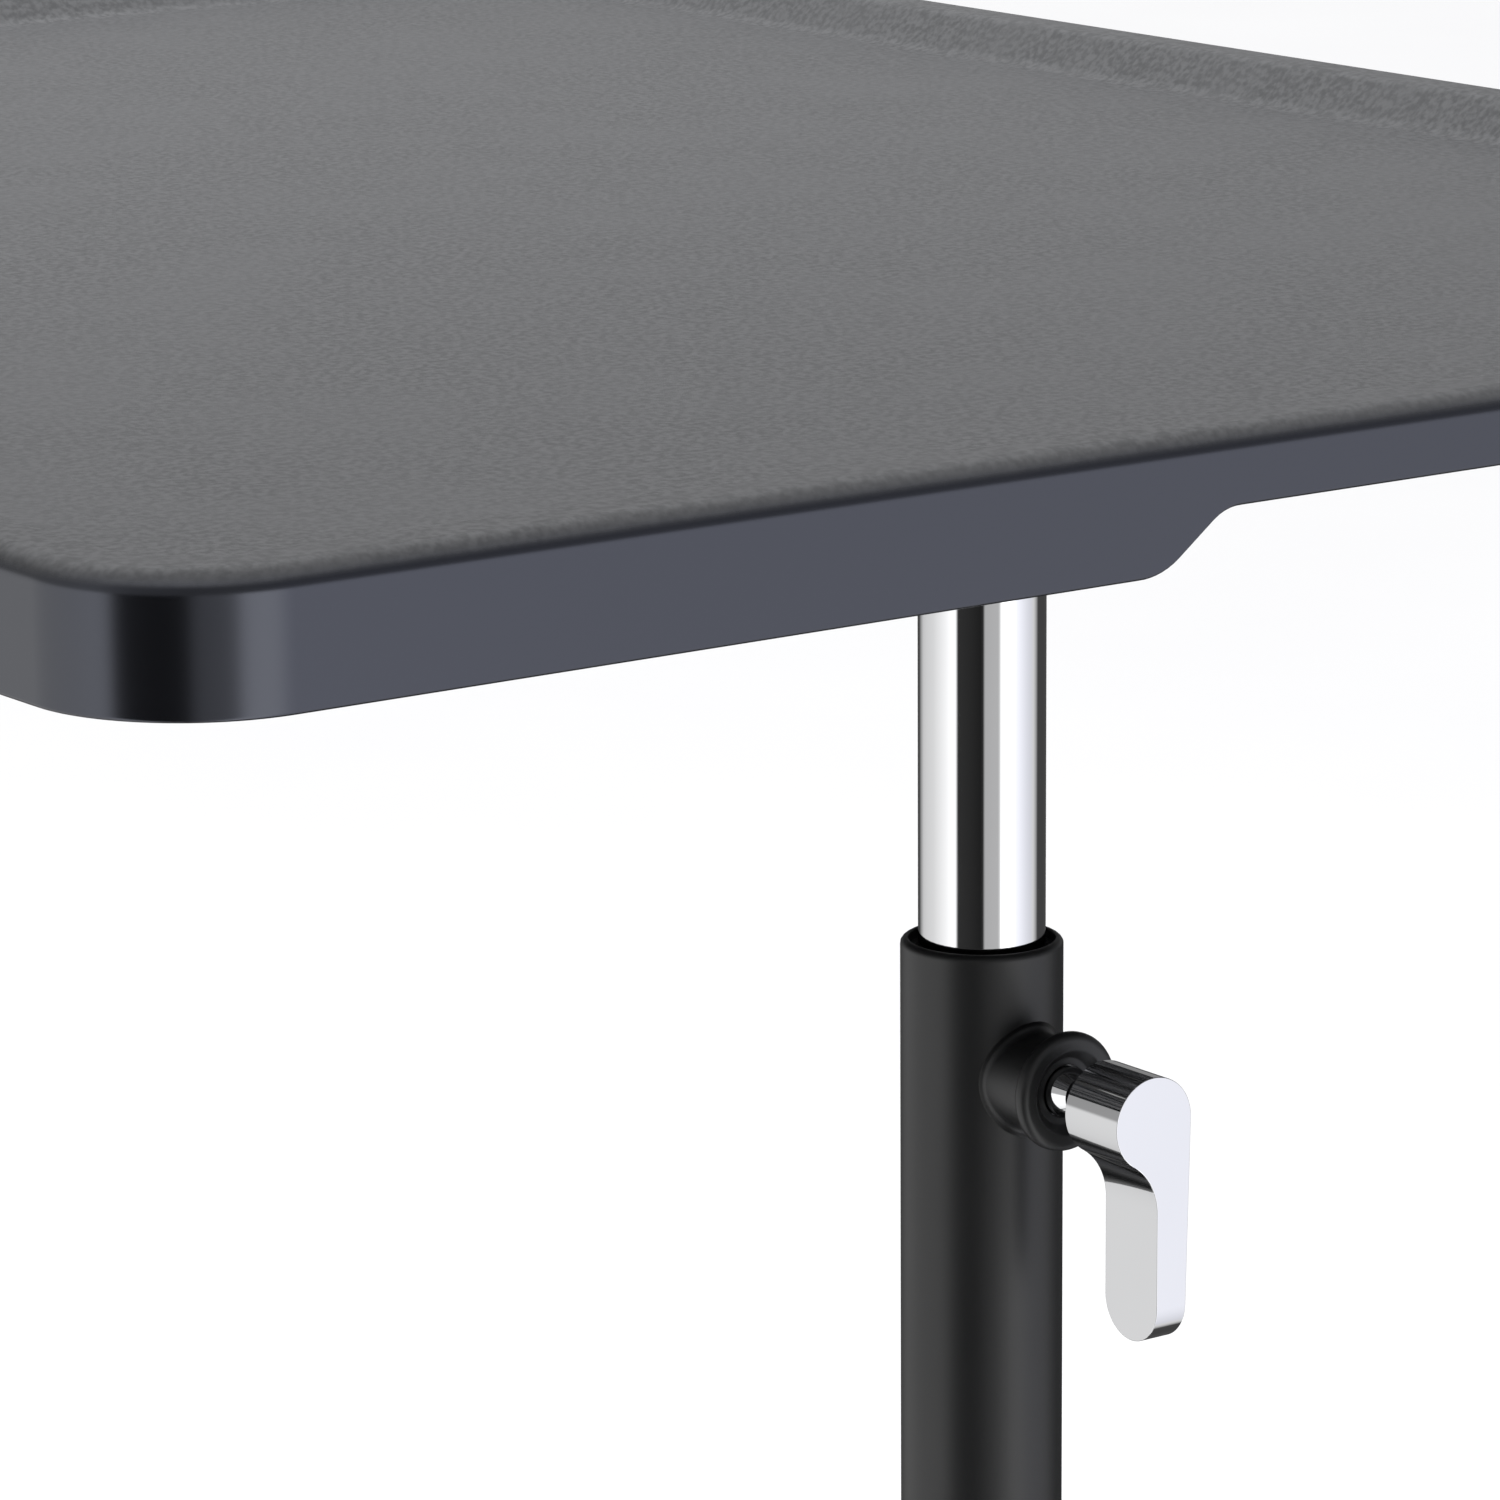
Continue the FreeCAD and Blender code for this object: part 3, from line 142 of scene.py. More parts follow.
def varied(tree, value, share, amount):
    """The value with noise about it, up to the amount each way."""
    swing = maths(tree, "MULTIPLY_ADD", share, 2 * amount, -amount)
    return maths(tree, "ADD", swing, value)


# ---------------------------------------------------------------- materials

def new_material(name):
    """An empty material; returns it, its tree, its Principled surface and its coordinates."""
    material = bpy.data.materials.new(name)
    material.use_nodes = True
    tree = material.node_tree
    tree.nodes.clear()
    output = tree.nodes.new("ShaderNodeOutputMaterial")
    surface = tree.nodes.new("ShaderNodeBsdfPrincipled")
    tree.links.new(surface.outputs[0], output.inputs[0])
    coords = tree.nodes.new("ShaderNodeTexCoord")
    return material, tree, surface, coords


def bump(tree, height, depth, below=None):
    """Surface relief of this depth in metres, over another normal if one is given."""
    made = tree.nodes.new("ShaderNodeBump")
    feed(tree, made.inputs["Strength"], 1.0)
    feed(tree, made.inputs["Distance"], depth)
    feed(tree, made.inputs["Height"], height)
    feed(tree, made.inputs["Normal"], below)
    return made.outputs[0]


def worn_edge(tree, radius):
    """The normal with sharp edges eased to a small radius."""
    made = tree.nodes.new("ShaderNodeBevel")
    made.samples = 4
    made.inputs["Radius"].default_value = radius
    return made.outputs[0]


def dress_surface(tree, surface, colour, roughness, normal, metallic=0.0, ior=1.5):
    feed(tree, surface.inputs["Base Color"], colour)
    feed(tree, surface.inputs["Roughness"], roughness)
    feed(tree, surface.inputs["Normal"], normal)
    feed(tree, surface.inputs["Metallic"], metallic)
    feed(tree, surface.inputs["IOR"], ior)


def make_tray_plastic():
    """Black moulding: spark-grained on top, satin on the skirt and below; the top's paler grey is painted
    sheen, a lit copy of the black, and the satin's reflections have a painted blue tint.
    """
    material, tree, surface, coords = new_material("tray_plastic_painted_top_sheen")
    place = coords.outputs["Object"]
    grain_and_painted_sheen = put(tree, "Attribute", attribute_name=GRAIN_AND_PAINTED_SHEEN_LAYER).outputs["Fac"]
    cloud = noise(tree, place, 22.0, 3.0)
    speckle = noise(tree, place, 620.0, 2.0)
    grain = noise(tree, place, 1500.0, 3.0)
    satin = noise(tree, place, 3200.0, 1.0)
    # Painted sheen: these greys are far paler than the satin black below, standing in for the light that
    # the upward faces catch; the speckle and cloud in them are the grain's own tone.
    dark, pale = (0.056, 0.057, 0.059, 1), (0.088, 0.089, 0.092, 1)
    painted_sheen_top = blend(tree, span(tree, speckle, 0.30, 0.70), dark, pale)
    painted_sheen_top = blend(tree, span(tree, cloud, 0.35, 0.75, 0.0, 0.4), painted_sheen_top, (0.082, 0.083, 0.086, 1))
    # Painted sheen: the paler grey goes where the layer says the face looks up, and the satin black goes
    # elsewhere.
    colour = blend(tree, grain_and_painted_sheen, (0.0022, 0.0023, 0.0028, 1), painted_sheen_top)
    roughness = span(tree, grain_and_painted_sheen, 0.0, 1.0, 0.23, 0.38)
    roughness = varied(tree, roughness, cloud, 0.02)
    roughness = maths(tree, "ADD", roughness, maths(tree, "MULTIPLY", grain, 0.02))
    relief = bump(tree, grain, maths(tree, "MULTIPLY", grain_and_painted_sheen, 1.6e-5))
    relief = bump(tree, satin, 1.0e-6, relief)
    dress_surface(tree, surface, colour, roughness, relief, ior=span(tree, grain_and_painted_sheen, 0.0, 1.0, 1.66, 1.28))
    # Painted reflection tint: the satin faces' reflections are tinted blue, standing in for a cool light
    # round the tray.
    feed(tree, surface.inputs["Specular Tint"], blend(tree, grain_and_painted_sheen, (0.80, 0.84, 1.0, 1), (1, 1, 1, 1)))
    return material


def make_powder_coat():
    """Satin black powder coat with its orange peel."""
    material, tree, surface, coords = new_material("black_powder_coat_satin")
    place = coords.outputs["Object"]
    cloud = noise(tree, place, 30.0, 3.0)
    peel = noise(tree, place, 420.0, 1.0)
    grit = noise(tree, place, 2600.0, 2.0)
    colour = blend(tree, grit, (0.0045, 0.0047, 0.0052, 1), (0.0085, 0.0087, 0.0092, 1))
    roughness = varied(tree, 0.42, cloud, 0.04)
    relief = bump(tree, peel, 1.0e-5, worn_edge(tree, 0.0006))
    relief = bump(tree, grit, 1.5e-6, relief)
    dress_surface(tree, surface, colour, roughness, relief, ior=1.45)
    return material


def make_chrome():
    """Bright plate with a little hand haze and fine polishing lines."""
    material, tree, surface, coords = new_material("chrome_plate")
    place = coords.outputs["Object"]
    haze = noise(tree, place, 34.0, 4.0)
    lines = noise(tree, place, 2400.0, 1.0, (1.0, 1.0, 0.03))
    level = CHROME_REFLECTANCE
    warm = (level * 0.98, level * 0.985, level, 1)
    cool = (level * 1.02, level * 1.02, level * 1.03, 1)
    colour = blend(tree, haze, warm, cool)
    roughness = span(tree, haze, 0.42, 0.75, 0.035, 0.075)
    relief = bump(tree, lines, 2.5e-7)
    dress_surface(tree, surface, colour, roughness, relief, metallic=1.0)
    return material


def make_zinc():
    """Bright zinc plate: faint spangle and brushed grain."""
    material, tree, surface, coords = new_material("zinc_plate")
    place = coords.outputs["Object"]
    spangle = put(tree, "TexVoronoi", place)
    spangle.inputs["Scale"].default_value = 420.0
    brushed = noise(tree, place, 1800.0, 3.0, (1.0, 0.15, 1.0))
    share = maths(tree, "MULTIPLY", put(tree, "SeparateColor", spangle.outputs["Color"]).outputs[0], 0.5)
    colour = blend(tree, share, (0.50, 0.505, 0.50, 1), (0.62, 0.615, 0.585, 1))
    roughness = varied(tree, 0.30, brushed, 0.10)
    relief = bump(tree, brushed, 4.0e-6, worn_edge(tree, 0.0004))
    dress_surface(tree, surface, colour, roughness, relief, metallic=1.0)
    return material


def make_brass():
    material, tree, surface, coords = new_material("brass_turned")
    place = coords.outputs["Object"]
    lines = noise(tree, place, 1600.0, 2.0, (1.0, 4.0, 1.0))
    colour = blend(tree, lines, (0.60, 0.42, 0.16, 1), (0.74, 0.55, 0.26, 1))
    roughness = varied(tree, 0.28, lines, 0.08)
    dress_surface(tree, surface, colour, roughness, bump(tree, lines, 3.0e-6), metallic=1.0)
    return material


def make_black_plastic(name, dark, pale, roughness, cycles, depth):
    """Moulded black plastic or rubber: fine grain, cloudy gloss and a trace of dust."""
    material, tree, surface, coords = new_material(name)
    place = coords.outputs["Object"]
    cloud = noise(tree, place, 60.0, 4.0)
    grain = noise(tree, place, cycles, 3.0)
    dust = span(tree, cloud, 0.45, 0.8)
    colour = blend(tree, maths(tree, "MULTIPLY", dust, grain), dark + (1,), pale + (1,))
    relief = bump(tree, grain, depth, worn_edge(tree, 0.0005))
    dress_surface(tree, surface, colour, varied(tree, roughness, cloud, 0.06), relief)
    return material


MATERIALS = {
    "tray_plastic": make_tray_plastic(),
    "black_powder_coat": make_powder_coat(),
    "chrome": make_chrome(),
    "zinc_steel": make_zinc(),
    "brass": make_brass(),
    "black_plastic": make_black_plastic(
        "black_nylon", (0.008, 0.008, 0.0085), (0.03, 0.03, 0.031), 0.42, 1300.0, 8e-6),
    "wheel_plastic": make_black_plastic(
        "wheel_nylon", (0.014, 0.014, 0.0145), (0.05, 0.049, 0.047), 0.38, 1100.0, 6e-6),
    "tyre_rubber": make_black_plastic(
        "tyre_elastomer", (0.035, 0.035, 0.036), (0.10, 0.097, 0.09), 0.62, 900.0, 1.4e-5),
}


def paint_nodes():
    """Give each CAD node the material of its slot in the record."""
    for part in frame["record"]["subparts"]:
        target = frame["nodes"][part["node"]]
        target.data.materials.clear()
        target.data.materials.append(MATERIALS[part["material_slot"]])


# ---------------------------------------------------------------- tray

# The tray's section in millimetres: (in from its outline, up from its lower edge).
MM = 0.001
TRAY_CORNER = 30.0
TRAY_TOP = 24.5
SKIRT_EDGE = 0.8
SKIRT_WALL = 3.0
CREST_OUTER = 4.5
CREST_INNER = 4.0
CREST_SHOULDER = 11.343
WELL_FOOT = 6.0
WELL_FOOT_INSET = 24.485
WELL_FLOOR = 15.5
HOLLOW_INSET = 12.0
HOLLOW_TOP = 20.0
UNDERSIDE = 12.0
# The ribs and screw bosses below the floor.
RIB_FOOT = 8.0
RIB_THICKNESS = 2.5
RIB_PITCH_X = 50.0
RIB_PITCH_Y = 58.0
RIBS_EACH_SIDE = 5
RIB_END = 40.0
CROSSING_STEP = 0.02
BOSS_RADIUS = 6.0
BOSS_X = 75.0
BOSS_ROWS = (-285.0, -105.0, 75.0, 255.0)
# The raised length of skirt at the column's end: half widths, rise and the radii of its two bends.
GRIP_FOOT = 69.8
GRIP_TOP = 55.85
GRIP_RISE = 10.5
GRIP_LOWER_BEND = 14.0
GRIP_UPPER_BEND = 10.0
# The grain, and with it the top's painted sheen (a paler grey standing in for light), fades out over the
# crest's outer rounding, between these tilts of its face.
GRAIN_AND_PAINTED_SHEEN_START = 0.34
GRAIN_AND_PAINTED_SHEEN_FULL = 0.92

ARC_STEPS = 10
CORNER_STEPS = 24
GRIP_STEPS = 30
BOSS_SIDES = 32


def arc(inset, level, radius, first, last):
    """Section points with their normals round part of a circle. Angles go from straight out to up."""
    points = []
    for step in range(ARC_STEPS + 1):
        angle = math.radians(first + (last - first) * step / ARC_STEPS)
        out = math.cos(angle)
        up = math.sin(angle)
        points.append((inset - radius * out, level + radius * up, out, up))
    return points


def flat(start, end, angle):
    """A straight stretch of the section, whose face looks along the angle."""
    out = math.cos(math.radians(angle))
    up = math.sin(math.radians(angle))
    return [(*start, out, up), (*end, out, up)]


def tray_section():
    """Stretches of the section from the well's floor, over the rim and round below it."""
    foot = arc(WELL_FOOT_INSET, WELL_FLOOR + WELL_FOOT, -WELL_FOOT, 90, 135)
    inner = arc(CREST_SHOULDER, TRAY_TOP - CREST_INNER, CREST_INNER, 135, 90)
    outer = arc(CREST_OUTER, TRAY_TOP - CREST_OUTER, CREST_OUTER, 90, 0)
    edge = arc(SKIRT_EDGE, SKIRT_EDGE, SKIRT_EDGE, 0, -90)
    return [
        foot,
        flat(foot[-1][:2], inner[0][:2], 135),
        inner,
        flat(inner[-1][:2], outer[0][:2], 90),
        outer,
        flat(outer[-1][:2], edge[0][:2], 0),
        edge,
        flat(edge[-1][:2], (SKIRT_WALL, 0.0), -90),
        flat((SKIRT_WALL, 0.0), (SKIRT_WALL, HOLLOW_TOP), 180),
        flat((SKIRT_WALL, HOLLOW_TOP), (HOLLOW_INSET, HOLLOW_TOP), -90),
        flat((HOLLOW_INSET, HOLLOW_TOP), (HOLLOW_INSET, UNDERSIDE), 0),
    ]


def grip_rise(x):
    """How far the skirt's lower edge is raised at this distance from the middle."""
    lean = math.atan2(GRIP_RISE, GRIP_FOOT - GRIP_TOP)
    upper_start = GRIP_TOP - GRIP_UPPER_BEND * math.tan(lean / 2)
    lower_end = GRIP_FOOT + GRIP_LOWER_BEND * math.tan(lean / 2)
    if x <= upper_start:
        return GRIP_RISE
    if x >= lower_end:
        return 0.0
    if x < upper_start + GRIP_UPPER_BEND * math.sin(lean):
        return GRIP_RISE - GRIP_UPPER_BEND + math.sqrt(GRIP_UPPER_BEND ** 2 - (x - upper_start) ** 2)
    if x > lower_end - GRIP_LOWER_BEND * math.sin(lean):
        return GRIP_LOWER_BEND - math.sqrt(GRIP_LOWER_BEND ** 2 - (x - lower_end) ** 2)
    return (GRIP_FOOT - x) * math.tan(lean)


def tray_outline(half_width, half_length):
    """Places round the tray, anticlockwise: the corner's centre, the way out and the skirt's rise."""
    places = []
    for quarter, (side, end) in enumerate(((1, 1), (-1, 1), (-1, -1), (1, -1))):
        x = side * (half_width - TRAY_CORNER)
        y = end * (half_length - TRAY_CORNER)
        if quarter == 3:
            places += [(place, y, 0.0, -1.0, grip_rise(abs(place))) for place in grip_places()]
        for step in range(CORNER_STEPS + 1):
            angle = math.pi / 2 * (quarter + step / CORNER_STEPS)
            places.append((x, y, math.cos(angle), math.sin(angle), 0.0))
    return places


def grip_places():
    """Distances across the column's end, close together where the skirt's edge bends."""
    low = GRIP_TOP - GRIP_UPPER_BEND
    high = GRIP_FOOT + GRIP_LOWER_BEND
    bends = [low + (high - low) * step / GRIP_STEPS for step in range(GRIP_STEPS + 1)]
    return [-place for place in reversed(bends)] + bends


class Shell:
    """Faces of a mesh with the exact normal at each of their corners."""

    def __init__(self):
        self.points = []
        # Each point's grain share, which also sets how much of the tray's painted sheen it gets.
        self.grain = []
        self.faces = []
        self.normals = []

    def add_ring(self, ring, grain=0.0):
        first = len(self.points)
        self.points += ring
        self.grain += [grain] * len(ring)
        return range(first, len(self.points))

    def add_face(self, corners, normals):
        self.faces.append(tuple(corners))
        self.normals += normals

    def add_outward(self, corners, normals):
        """Add a face turned the way that its first normal looks."""
        turned = facing([Vector(self.points[corner]) for corner in corners]).dot(normals[0]) < 0
        step = -1 if turned else 1
        self.add_face(corners[::step], normals[::step])

    def add_prism(self, outline, low, high):
        """An upright prism on an anticlockwise outline, with no top."""
        foot = self.add_ring([(x, y, low) for x, y in outline])
        head = self.add_ring([(x, y, high) for x, y in outline])
        count = len(outline)
        for i in range(count):
            j = (i + 1) % count
            across = Vector((outline[j][1] - outline[i][1], outline[i][0] - outline[j][0], 0.0))
            self.add_face((foot[i], foot[j], head[j], head[i]), [across.normalized()] * 4)
        self.add_face(reversed(foot), [(0.0, 0.0, -1.0)] * count)

    def make_object(self, name, scale):
        mesh = bpy.data.meshes.new(name)
        mesh.from_pydata([Vector(point) * scale for point in self.points], [], self.faces)
        mesh.shade_smooth()
        mesh.normals_split_custom_set(self.normals)
        mesh.attributes.new(GRAIN_AND_PAINTED_SHEEN_LAYER, "FLOAT", "POINT").data.foreach_set("value", self.grain)
        made = bpy.data.objects.new(name, mesh)
        bpy.context.scene.collection.objects.link(made)
        return made


def add_tray_skin(shell, places, base):
    """Sweep the section round the outline and close the well's floor and the underside."""
    def ring(inset, level, out, up):
        points = []
        for x, y, out_x, out_y, rise in places:
            reach = TRAY_CORNER - inset
            lift = rise if level <= SKIRT_EDGE else 0.0
            points.append((x + out_x * reach, y + out_y * reach, base + level + lift))
        # This share also sets the painted sheen: rings that face up get more of the top's paler grey, which
        # stands in for light.
        share = (up - GRAIN_AND_PAINTED_SHEEN_START) / (GRAIN_AND_PAINTED_SHEEN_FULL - GRAIN_AND_PAINTED_SHEEN_START) if inset < CREST_OUTER else up + out ** 2
        return shell.add_ring(points, min(max(share, 0.0), 1.0))

    count = len(places)
    section = tray_section()
    inner = first = ring(*section[0][0])
    for stretch in section:
        for near, far in zip(stretch, stretch[1:]):
            outer = ring(*far)
            for i in range(count):
                j = (i + 1) % count
                corners = ((i, near), (i, far), (j, far), (j, near))
                normals = [(places[k][2] * at[2], places[k][3] * at[2], at[3]) for k, at in corners]
                shell.add_face((inner[i], outer[i], outer[j], inner[j]), normals)
            inner = outer
    shell.add_face(first, [(0.0, 0.0, 1.0)] * count)
    shell.add_face(reversed(inner), [(0.0, 0.0, -1.0)] * count)


def add_tray_ribs(shell, half_width, half_length, base):
    """The grid of ribs and the screw bosses below the floor."""
    half = RIB_THICKNESS / 2
    end = half_length - RIB_END
    side = half_width - SKIRT_WALL
    for step in range(-RIBS_EACH_SIDE, RIBS_EACH_SIDE + 1):
        x = step * RIB_PITCH_X
        along = [(x - half, -end), (x + half, -end), (x + half, end), (x - half, end)]
        shell.add_prism(along, base + RIB_FOOT, base + UNDERSIDE)
        y = step * RIB_PITCH_Y
        across = [(-side, y - half), (side, y - half), (side, y + half), (-side, y + half)]
        shell.add_prism(across, base + RIB_FOOT + CROSSING_STEP, base + UNDERSIDE)
    turns = [2 * math.pi * step / BOSS_SIDES for step in range(BOSS_SIDES)]
    for x in (-BOSS_X, BOSS_X):
        for y in BOSS_ROWS:
            disc = [(x + BOSS_RADIUS * math.cos(turn), y + BOSS_RADIUS * math.sin(turn)) for turn in turns]
            shell.add_prism(disc, base + RIB_FOOT + 2 * CROSSING_STEP, base + UNDERSIDE)


def make_tray():
    """The moulded tray with truly round corners and crest, in place of its faceted CAD node."""
    low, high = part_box("tray")
    half_width = (high.x - low.x) / 2 / MM
    half_length = (high.y - low.y) / 2 / MM
    base = low.z / MM
    shell = Shell()
    add_tray_skin(shell, tray_outline(half_width, half_length), base)
    add_tray_ribs(shell, half_width, half_length, base)
    tray = shell.make_object("tray_moulding", MM)
    tray.data.materials.append(MATERIALS["tray_plastic"])
    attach(tray, "upper")
    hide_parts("tray")


# ---------------------------------------------------------------- lever

# The lever's front view in millimetres from the hub's centre, and the roundness of its edges.
HUB_RADIUS = 9.15
THROAT_RADIUS = 12.2
ARM_LEFT = 0.95
ARM_RIGHT = 7.9
LEVER_EDGE = 0.15
HUB_STEPS = 96
THROAT_STEPS = 32
FOOT_STEPS = 40
EDGE_STEPS = 3


def lever_outline(lean):
    """The hub and throat in the front view, less the edge: (x, z) with the way out."""
    throat_x = ARM_LEFT - THROAT_RADIUS
    throat_z = -math.sqrt((HUB_RADIUS + THROAT_RADIUS) ** 2 - throat_x ** 2)
    meet = math.atan2(-throat_z, -throat_x)
    outline = []
    for step in range(HUB_STEPS + 1):
        angle = -lean + (math.pi + meet + lean) * step / HUB_STEPS
        way = Vector((math.cos(angle), 0.0, math.sin(angle)))
        outline.append((way * (HUB_RADIUS - LEVER_EDGE), way))
    centre = Vector((throat_x, 0.0, throat_z))
    for step in range(1, THROAT_STEPS + 1):
        angle = meet * (1 - step / THROAT_STEPS)
        way = -Vector((math.cos(angle), 0.0, math.sin(angle)))
        outline.append((centre - way * (THROAT_RADIUS + LEVER_EDGE), way))
    return outline


def lever_loop(front, rear, bottom):
    """The one edge that runs round the lever's front, foot and rear: its place, side way and face way."""
    lean = math.asin((HUB_RADIUS - ARM_RIGHT) / -bottom)
    outline = lever_outline(lean)
    middle = (front + rear) / 2
    half = (rear - front) / 2
    forward = Vector((0.0, -1.0, 0.0))
    left = Vector((-1.0, 0.0, 0.0))
    right = Vector((math.cos(lean), 0.0, -math.sin(lean)))
    foot = []
    for step in range(FOOT_STEPS + 1):
        angle = math.pi * step / FOOT_STEPS
        way = Vector((0.0, -math.cos(angle), -math.sin(angle)))
        foot.append((Vector((0.0, middle, bottom + half)) + way * (half - LEVER_EDGE), way))
    loop = [(place - forward * (front + LEVER_EDGE), way, forward) for place, way in outline]
    loop += [(Vector((ARM_LEFT + LEVER_EDGE, at.y, at.z)), left, way) for at, way in foot]
    loop += [(place - forward * (rear - LEVER_EDGE), way, -forward) for place, way in reversed(outline)]
    for at, way in reversed(foot):
        x = (HUB_RADIUS - LEVER_EDGE + at.z * math.sin(lean)) / math.cos(lean)
        loop.append((Vector((x, at.y, at.z)), right, way))
    return loop


def make_lever():
    """The chrome lever with truly round hub, throat and foot, in place of its faceted CAD node."""
    low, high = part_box("clamp_lever")
    hub = Vector((low.x / MM + HUB_RADIUS, 0.0, high.z / MM - HUB_RADIUS))
    loop = lever_loop(low.y / MM, high.y / MM, low.z / MM - hub.z)
    count = len(loop)
    shell = Shell()
    rings = []
    ways = []
    for step in range(EDGE_STEPS + 1):
        tilt = math.pi / 2 * step / EDGE_STEPS
        bent = [side * math.cos(tilt) + face * math.sin(tilt) for place, side, face in loop]
        ways.append([way.normalized() for way in bent])
        places = [hub + at[0] + way * LEVER_EDGE for at, way in zip(loop, ways[-1])]
        rings.append(shell.add_ring(places))
    for k in range(EDGE_STEPS):
        for i in range(count):
            corners = ((k, i), (k, (i + 1) % count), (k + 1, (i + 1) % count), (k + 1, i))
            shell.add_outward([rings[a][b] for a, b in corners], [ways[a][b] for a, b in corners])

    def fill(ring, members):
        """One face of the lever, on the points of its edge's first or last ring."""
        shell.add_outward([rings[ring][i] for i in members], [ways[ring][i] for i in members])

    # The loop's order: front outline, left foot, rear outline back again, right foot.
    turn = HUB_STEPS + THROAT_STEPS + 1
    foot_end = turn + FOOT_STEPS
    hub_and_throat = [[i, i + 1, turn + foot_end - i - 1, turn + foot_end - i] for i in range(turn - 1)]
    foot = [[turn + i, turn + i + 1, count - i - 2, count - i - 1] for i in range(FOOT_STEPS)]
    left_side = list(range(turn - 1, foot_end + 2))
    right_side = [0] + list(range(count - 1, count - FOOT_STEPS - 3, -1))
    front_face = [count - 1] + list(range(turn + 1))
    rear_face = list(range(foot_end, count - FOOT_STEPS))
    for members in [*hub_and_throat, left_side, right_side]:
        fill(0, members)
    for members in [*foot, front_face, rear_face]:
        fill(-1, members)
    lever = shell.make_object("lever_handle", MM)
    lever.data.materials.append(MATERIALS["chrome"])
    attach(lever, "lever")
    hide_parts("clamp_lever")


# The spindle's turned section: radii, and distances back from the lever's hub, in millimetres.
SPINDLE_SIDES = 96
STUD_RADIUS = 4.0
STUD_CHAMFER = 0.8
COLLAR_RADIUS = 4.95
COLLAR_BACK = 11.6
CONE_BACK = 8.9
CONE_FRONT = 6.0
NECK_RADIUS = 3.6
SHOULDER_RADIUS = 7.0
SHOULDER_CHAMFER = 0.5
SHOULDER_LENGTH = 1.4


def spindle_section(length):
    """The section's corners from the stud's tip to the hub: (radius, distance back from the hub)."""
    return [
        (STUD_RADIUS - STUD_CHAMFER, length), (STUD_RADIUS, length - STUD_CHAMFER),
        (STUD_RADIUS, COLLAR_BACK), (COLLAR_RADIUS, COLLAR_BACK), (COLLAR_RADIUS, CONE_BACK),
        (NECK_RADIUS, CONE_FRONT), (NECK_RADIUS, SHOULDER_LENGTH),
        (SHOULDER_RADIUS - SHOULDER_CHAMFER, SHOULDER_LENGTH),
        (SHOULDER_RADIUS, SHOULDER_LENGTH - SHOULDER_CHAMFER), (SHOULDER_RADIUS, 0.0),
    ]


def make_spindle():
    """The stud, its tapered collar in the dished ring, a thin neck and the disc behind the hub."""
    low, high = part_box("clamp_spindle")
    middle = (low + high) / 2 / MM
    hub = Vector((middle.x, low.y / MM, middle.z))
    section = spindle_section((high.y - low.y) / MM)
    turns = [2 * math.pi * side / SPINDLE_SIDES for side in range(SPINDLE_SIDES)]
    spokes = [Vector((math.cos(turn), 0.0, math.sin(turn))) for turn in turns]
    shell = Shell()
    rings = [shell.add_ring([hub + spoke * radius + Vector((0.0, back, 0.0)) for spoke in spokes])
             for radius, back in section]
    for k in range(len(section) - 1):
        along = (Vector(section[k + 1]) - Vector(section[k])).normalized()
        for i in range(SPINDLE_SIDES):
            j = (i + 1) % SPINDLE_SIDES
            corners = [rings[k][i], rings[k + 1][i], rings[k + 1][j], rings[k][j]]
            ways = [spokes[side] * -along.y + Vector((0.0, along.x, 0.0)) for side in (i, i, j, j)]
            shell.add_outward(corners, ways)
    shell.add_outward(list(rings[0]), [Vector((0.0, 1.0, 0.0))] * SPINDLE_SIDES)
    shell.add_outward(list(rings[-1]), [Vector((0.0, -1.0, 0.0))] * SPINDLE_SIDES)
    spindle = shell.make_object("spindle_turned", MM)
    spindle.data.materials.append(MATERIALS["chrome"])
    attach(spindle, "lever")
    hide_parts("clamp_spindle")


# ---------------------------------------------------------------- surroundings

def tinted(level, tint):
    return tuple(level * share for share in tint) + (1.0,)


NEUTRAL = (1.0, 1.0, 1.0)
COOL = (0.965, 0.975, 1.05)
# Brightness of what stands round the table below eye level, by the angle from the camera's side, in
# degrees to the camera's right: dark and pale studio walls and two soft boxes.
LOW_WALLS = [
    (-180, 0.08, NEUTRAL), (-154, 0.08, NEUTRAL), (-141, 0.55, NEUTRAL), (-132, 0.95, NEUTRAL),
    (-118, 1.09, NEUTRAL), (-100, 1.20, NEUTRAL), (-85, 1.42, NEUTRAL), (-71, 1.64, NEUTRAL),
    (-62, 1.85, NEUTRAL), (-52, 2.05, NEUTRAL), (-50, 1.70, NEUTRAL), (-46, 0.05, NEUTRAL),
    (-20, 0.036, NEUTRAL), (-4, 0.024, NEUTRAL), (0, 0.05, NEUTRAL), (3.5, 0.73, NEUTRAL),
    (27, 0.78, NEUTRAL), (30, 1.10, NEUTRAL), (34, 2.70, NEUTRAL), (56, 2.70, NEUTRAL),
    (62, 1.82, COOL), (71, 1.64, COOL), (85, 1.35, COOL), (96, 1.18, COOL), (104, 1.08, NEUTRAL),
    (112, 0.54, NEUTRAL), (117, 0.09, NEUTRAL), (145, 0.08, NEUTRAL), (165, 0.09, NEUTRAL),
    (180, 0.08, NEUTRAL),
]
HIGH_WALLS = [
    (-180, 0.32, NEUTRAL), (-120, 0.40, NEUTRAL), (-60, 0.8, NEUTRAL), (-35, 0.45, NEUTRAL),
    (0, 0.35, NEUTRAL), (30, 0.4, NEUTRAL), (60, 0.4, COOL), (100, 0.4, COOL), (140, 0.36, NEUTRAL),
    (180, 0.32, NEUTRAL),
]
CEILING = (1.15, 1.15, 1.17, 1.0)
# Elevations in degrees over which the low walls pass into the high ones, and those into the ceiling.
EYE_LEVEL = (-3.0, 3.0)
CEILING_EDGE = (28.0, 46.0)
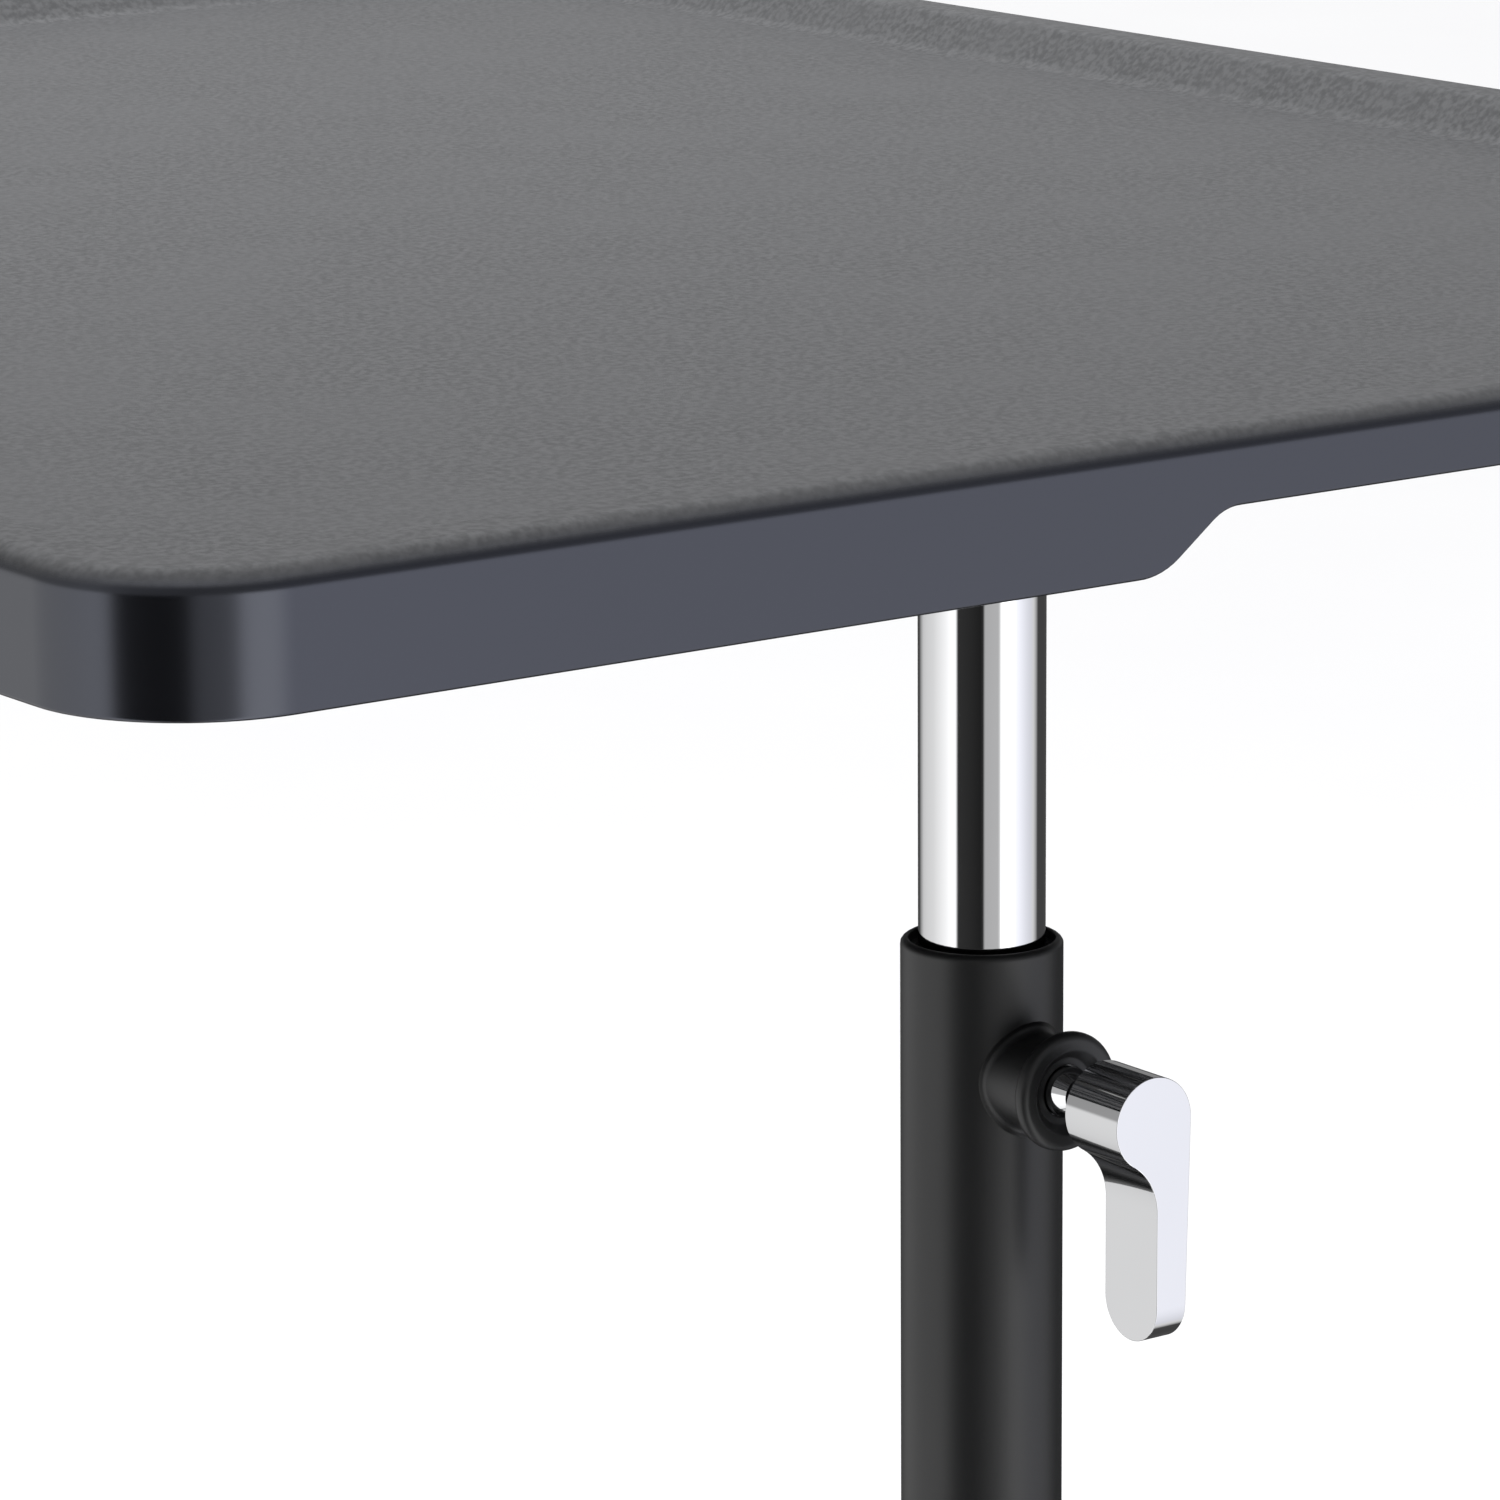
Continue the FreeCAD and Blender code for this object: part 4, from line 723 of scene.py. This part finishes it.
# The walls' ramps hold levels up to this.
RAMP_SCALE = 4.0

# The lights: the key's strength, its turn and how far it spreads, in degrees; the panel's power, width
# and height above the tray.
KEY_STRENGTH = 0.8
KEY_TURN = (28, -24, 0)
KEY_SPREAD = 50
PANEL_POWER = 12.0
PANEL_SIZE = 0.9
PANEL_CLEARANCE = 0.8


def wall_ramp(tree, around, walls):
    """The walls' brightness at an angle, from a ramp held in the 0 to 1 range and scaled up."""
    stops = [(angle / 360 + 0.5, tinted(level / RAMP_SCALE, tint)) for angle, level, tint in walls]
    colour = ramp(tree, around, stops)
    return put(tree, "VectorMath", colour, (RAMP_SCALE,) * 3, operation="MULTIPLY").outputs[0]


def make_world():
    """A pale studio: low walls, high walls and ceiling by direction, and plain white behind it all."""
    world = bpy.data.worlds.new("studio")
    bpy.context.scene.world = world
    world.use_nodes = True
    world.cycles.sampling_method = "NONE"
    tree = world.node_tree
    tree.nodes.clear()
    heading = math.radians(-CAMERA_HEADING)
    way = put(tree, "Mapping", put(tree, "TexCoord").outputs["Generated"], None, (0.0, 0.0, heading))
    parts = put(tree, "SeparateXYZ", way.outputs[0])
    back = maths(tree, "MULTIPLY", parts.outputs[1], -1.0)
    turn = maths(tree, "ARCTAN2", parts.outputs[0], back)
    around = maths(tree, "MULTIPLY_ADD", turn, 0.5 / math.pi, 0.5)
    height = maths(tree, "DEGREES", maths(tree, "ARCSINE", parts.outputs[2]))
    low = wall_ramp(tree, around, LOW_WALLS)
    high = wall_ramp(tree, around, HIGH_WALLS)
    walls = blend(tree, span(tree, height, *EYE_LEVEL), low, high)
    room = blend(tree, span(tree, height, *CEILING_EDGE), walls, CEILING)
    seen = put(tree, "LightPath").outputs["Is Camera Ray"]
    colour = blend(tree, seen, room, (HORIZON_WHITE,) * 3 + (1.0,))
    shine = put(tree, "Background", colour, 1.0)
    output = tree.nodes.new("ShaderNodeOutputWorld")
    tree.links.new(shine.outputs[0], output.inputs[0])


def add_light(name, kind, energy, place, turn):
    """A light that shows in no gloss, because that comes from the studio's walls alone."""
    data = bpy.data.lights.new(name, kind)
    data.energy = energy
    light = bpy.data.objects.new(name, data)
    bpy.context.scene.collection.objects.link(light)
    light.location = place
    light.rotation_euler = [math.radians(angle) for angle in turn]
    light.visible_glossy = False
    return data


def make_lights():
    """A broad soft key from above the camera's left, and a soft panel over the tray's far half."""
    key = add_light("soft_key", "SUN", KEY_STRENGTH, (0.0, 0.0, 0.0), KEY_TURN)
    key.angle = math.radians(KEY_SPREAD)
    low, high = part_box("tray")
    over = ((low.x + high.x) / 2, high.y, high.z + PANEL_CLEARANCE)
    add_light("soft_panel", "AREA", PANEL_POWER, over, (0, 0, 0)).size = PANEL_SIZE


def make_floor():
    """A plain pale floor with a faint mottle."""
    mesh = bpy.data.meshes.new("studio_floor")
    half = FLOOR_HALF
    level = cad_box[0][2]
    corners = [(-half, -half, level), (half, -half, level), (half, half, level), (-half, half, level)]
    mesh.from_pydata(corners, [], [(0, 1, 2, 3)])
    floor = bpy.data.objects.new("studio_floor", mesh)
    bpy.context.scene.collection.objects.link(floor)
    material, tree, surface, coords = new_material("studio_floor_white")
    cloud = noise(tree, coords.outputs["Object"], 3.0, 3.0)
    colour = blend(tree, cloud, (0.88, 0.88, 0.88, 1), (0.91, 0.91, 0.905, 1))
    dress_surface(tree, surface, colour, 0.9, None)
    mesh.materials.append(material)
    floor.visible_glossy = False


def make_camera():
    """The camera, placed from the column's axis and the height of its rim."""
    low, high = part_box("outer_column_tube")
    rim = Vector(((low.x + high.x) / 2, (low.y + high.y) / 2, high.z))
    data = bpy.data.cameras.new("view")
    data.lens = CAMERA_LENS
    data.sensor_width = SENSOR
    camera = bpy.data.objects.new("view", data)
    bpy.context.scene.collection.objects.link(camera)
    turn = (Matrix.Rotation(math.radians(CAMERA_HEADING), 4, "Z")
            @ Matrix.Rotation(math.radians(90 - CAMERA_PITCH), 4, "X")
            @ Matrix.Rotation(math.radians(CAMERA_ROLL), 4, "Z"))
    camera.matrix_world = Matrix.Translation(rim + CAMERA_OFFSET) @ turn
    bpy.context.scene.camera = camera


paint_nodes()
make_tray()
make_lever()
make_spindle()
make_world()
make_lights()
make_floor()
make_camera()
bpy.context.scene.view_settings.view_transform = "Standard"
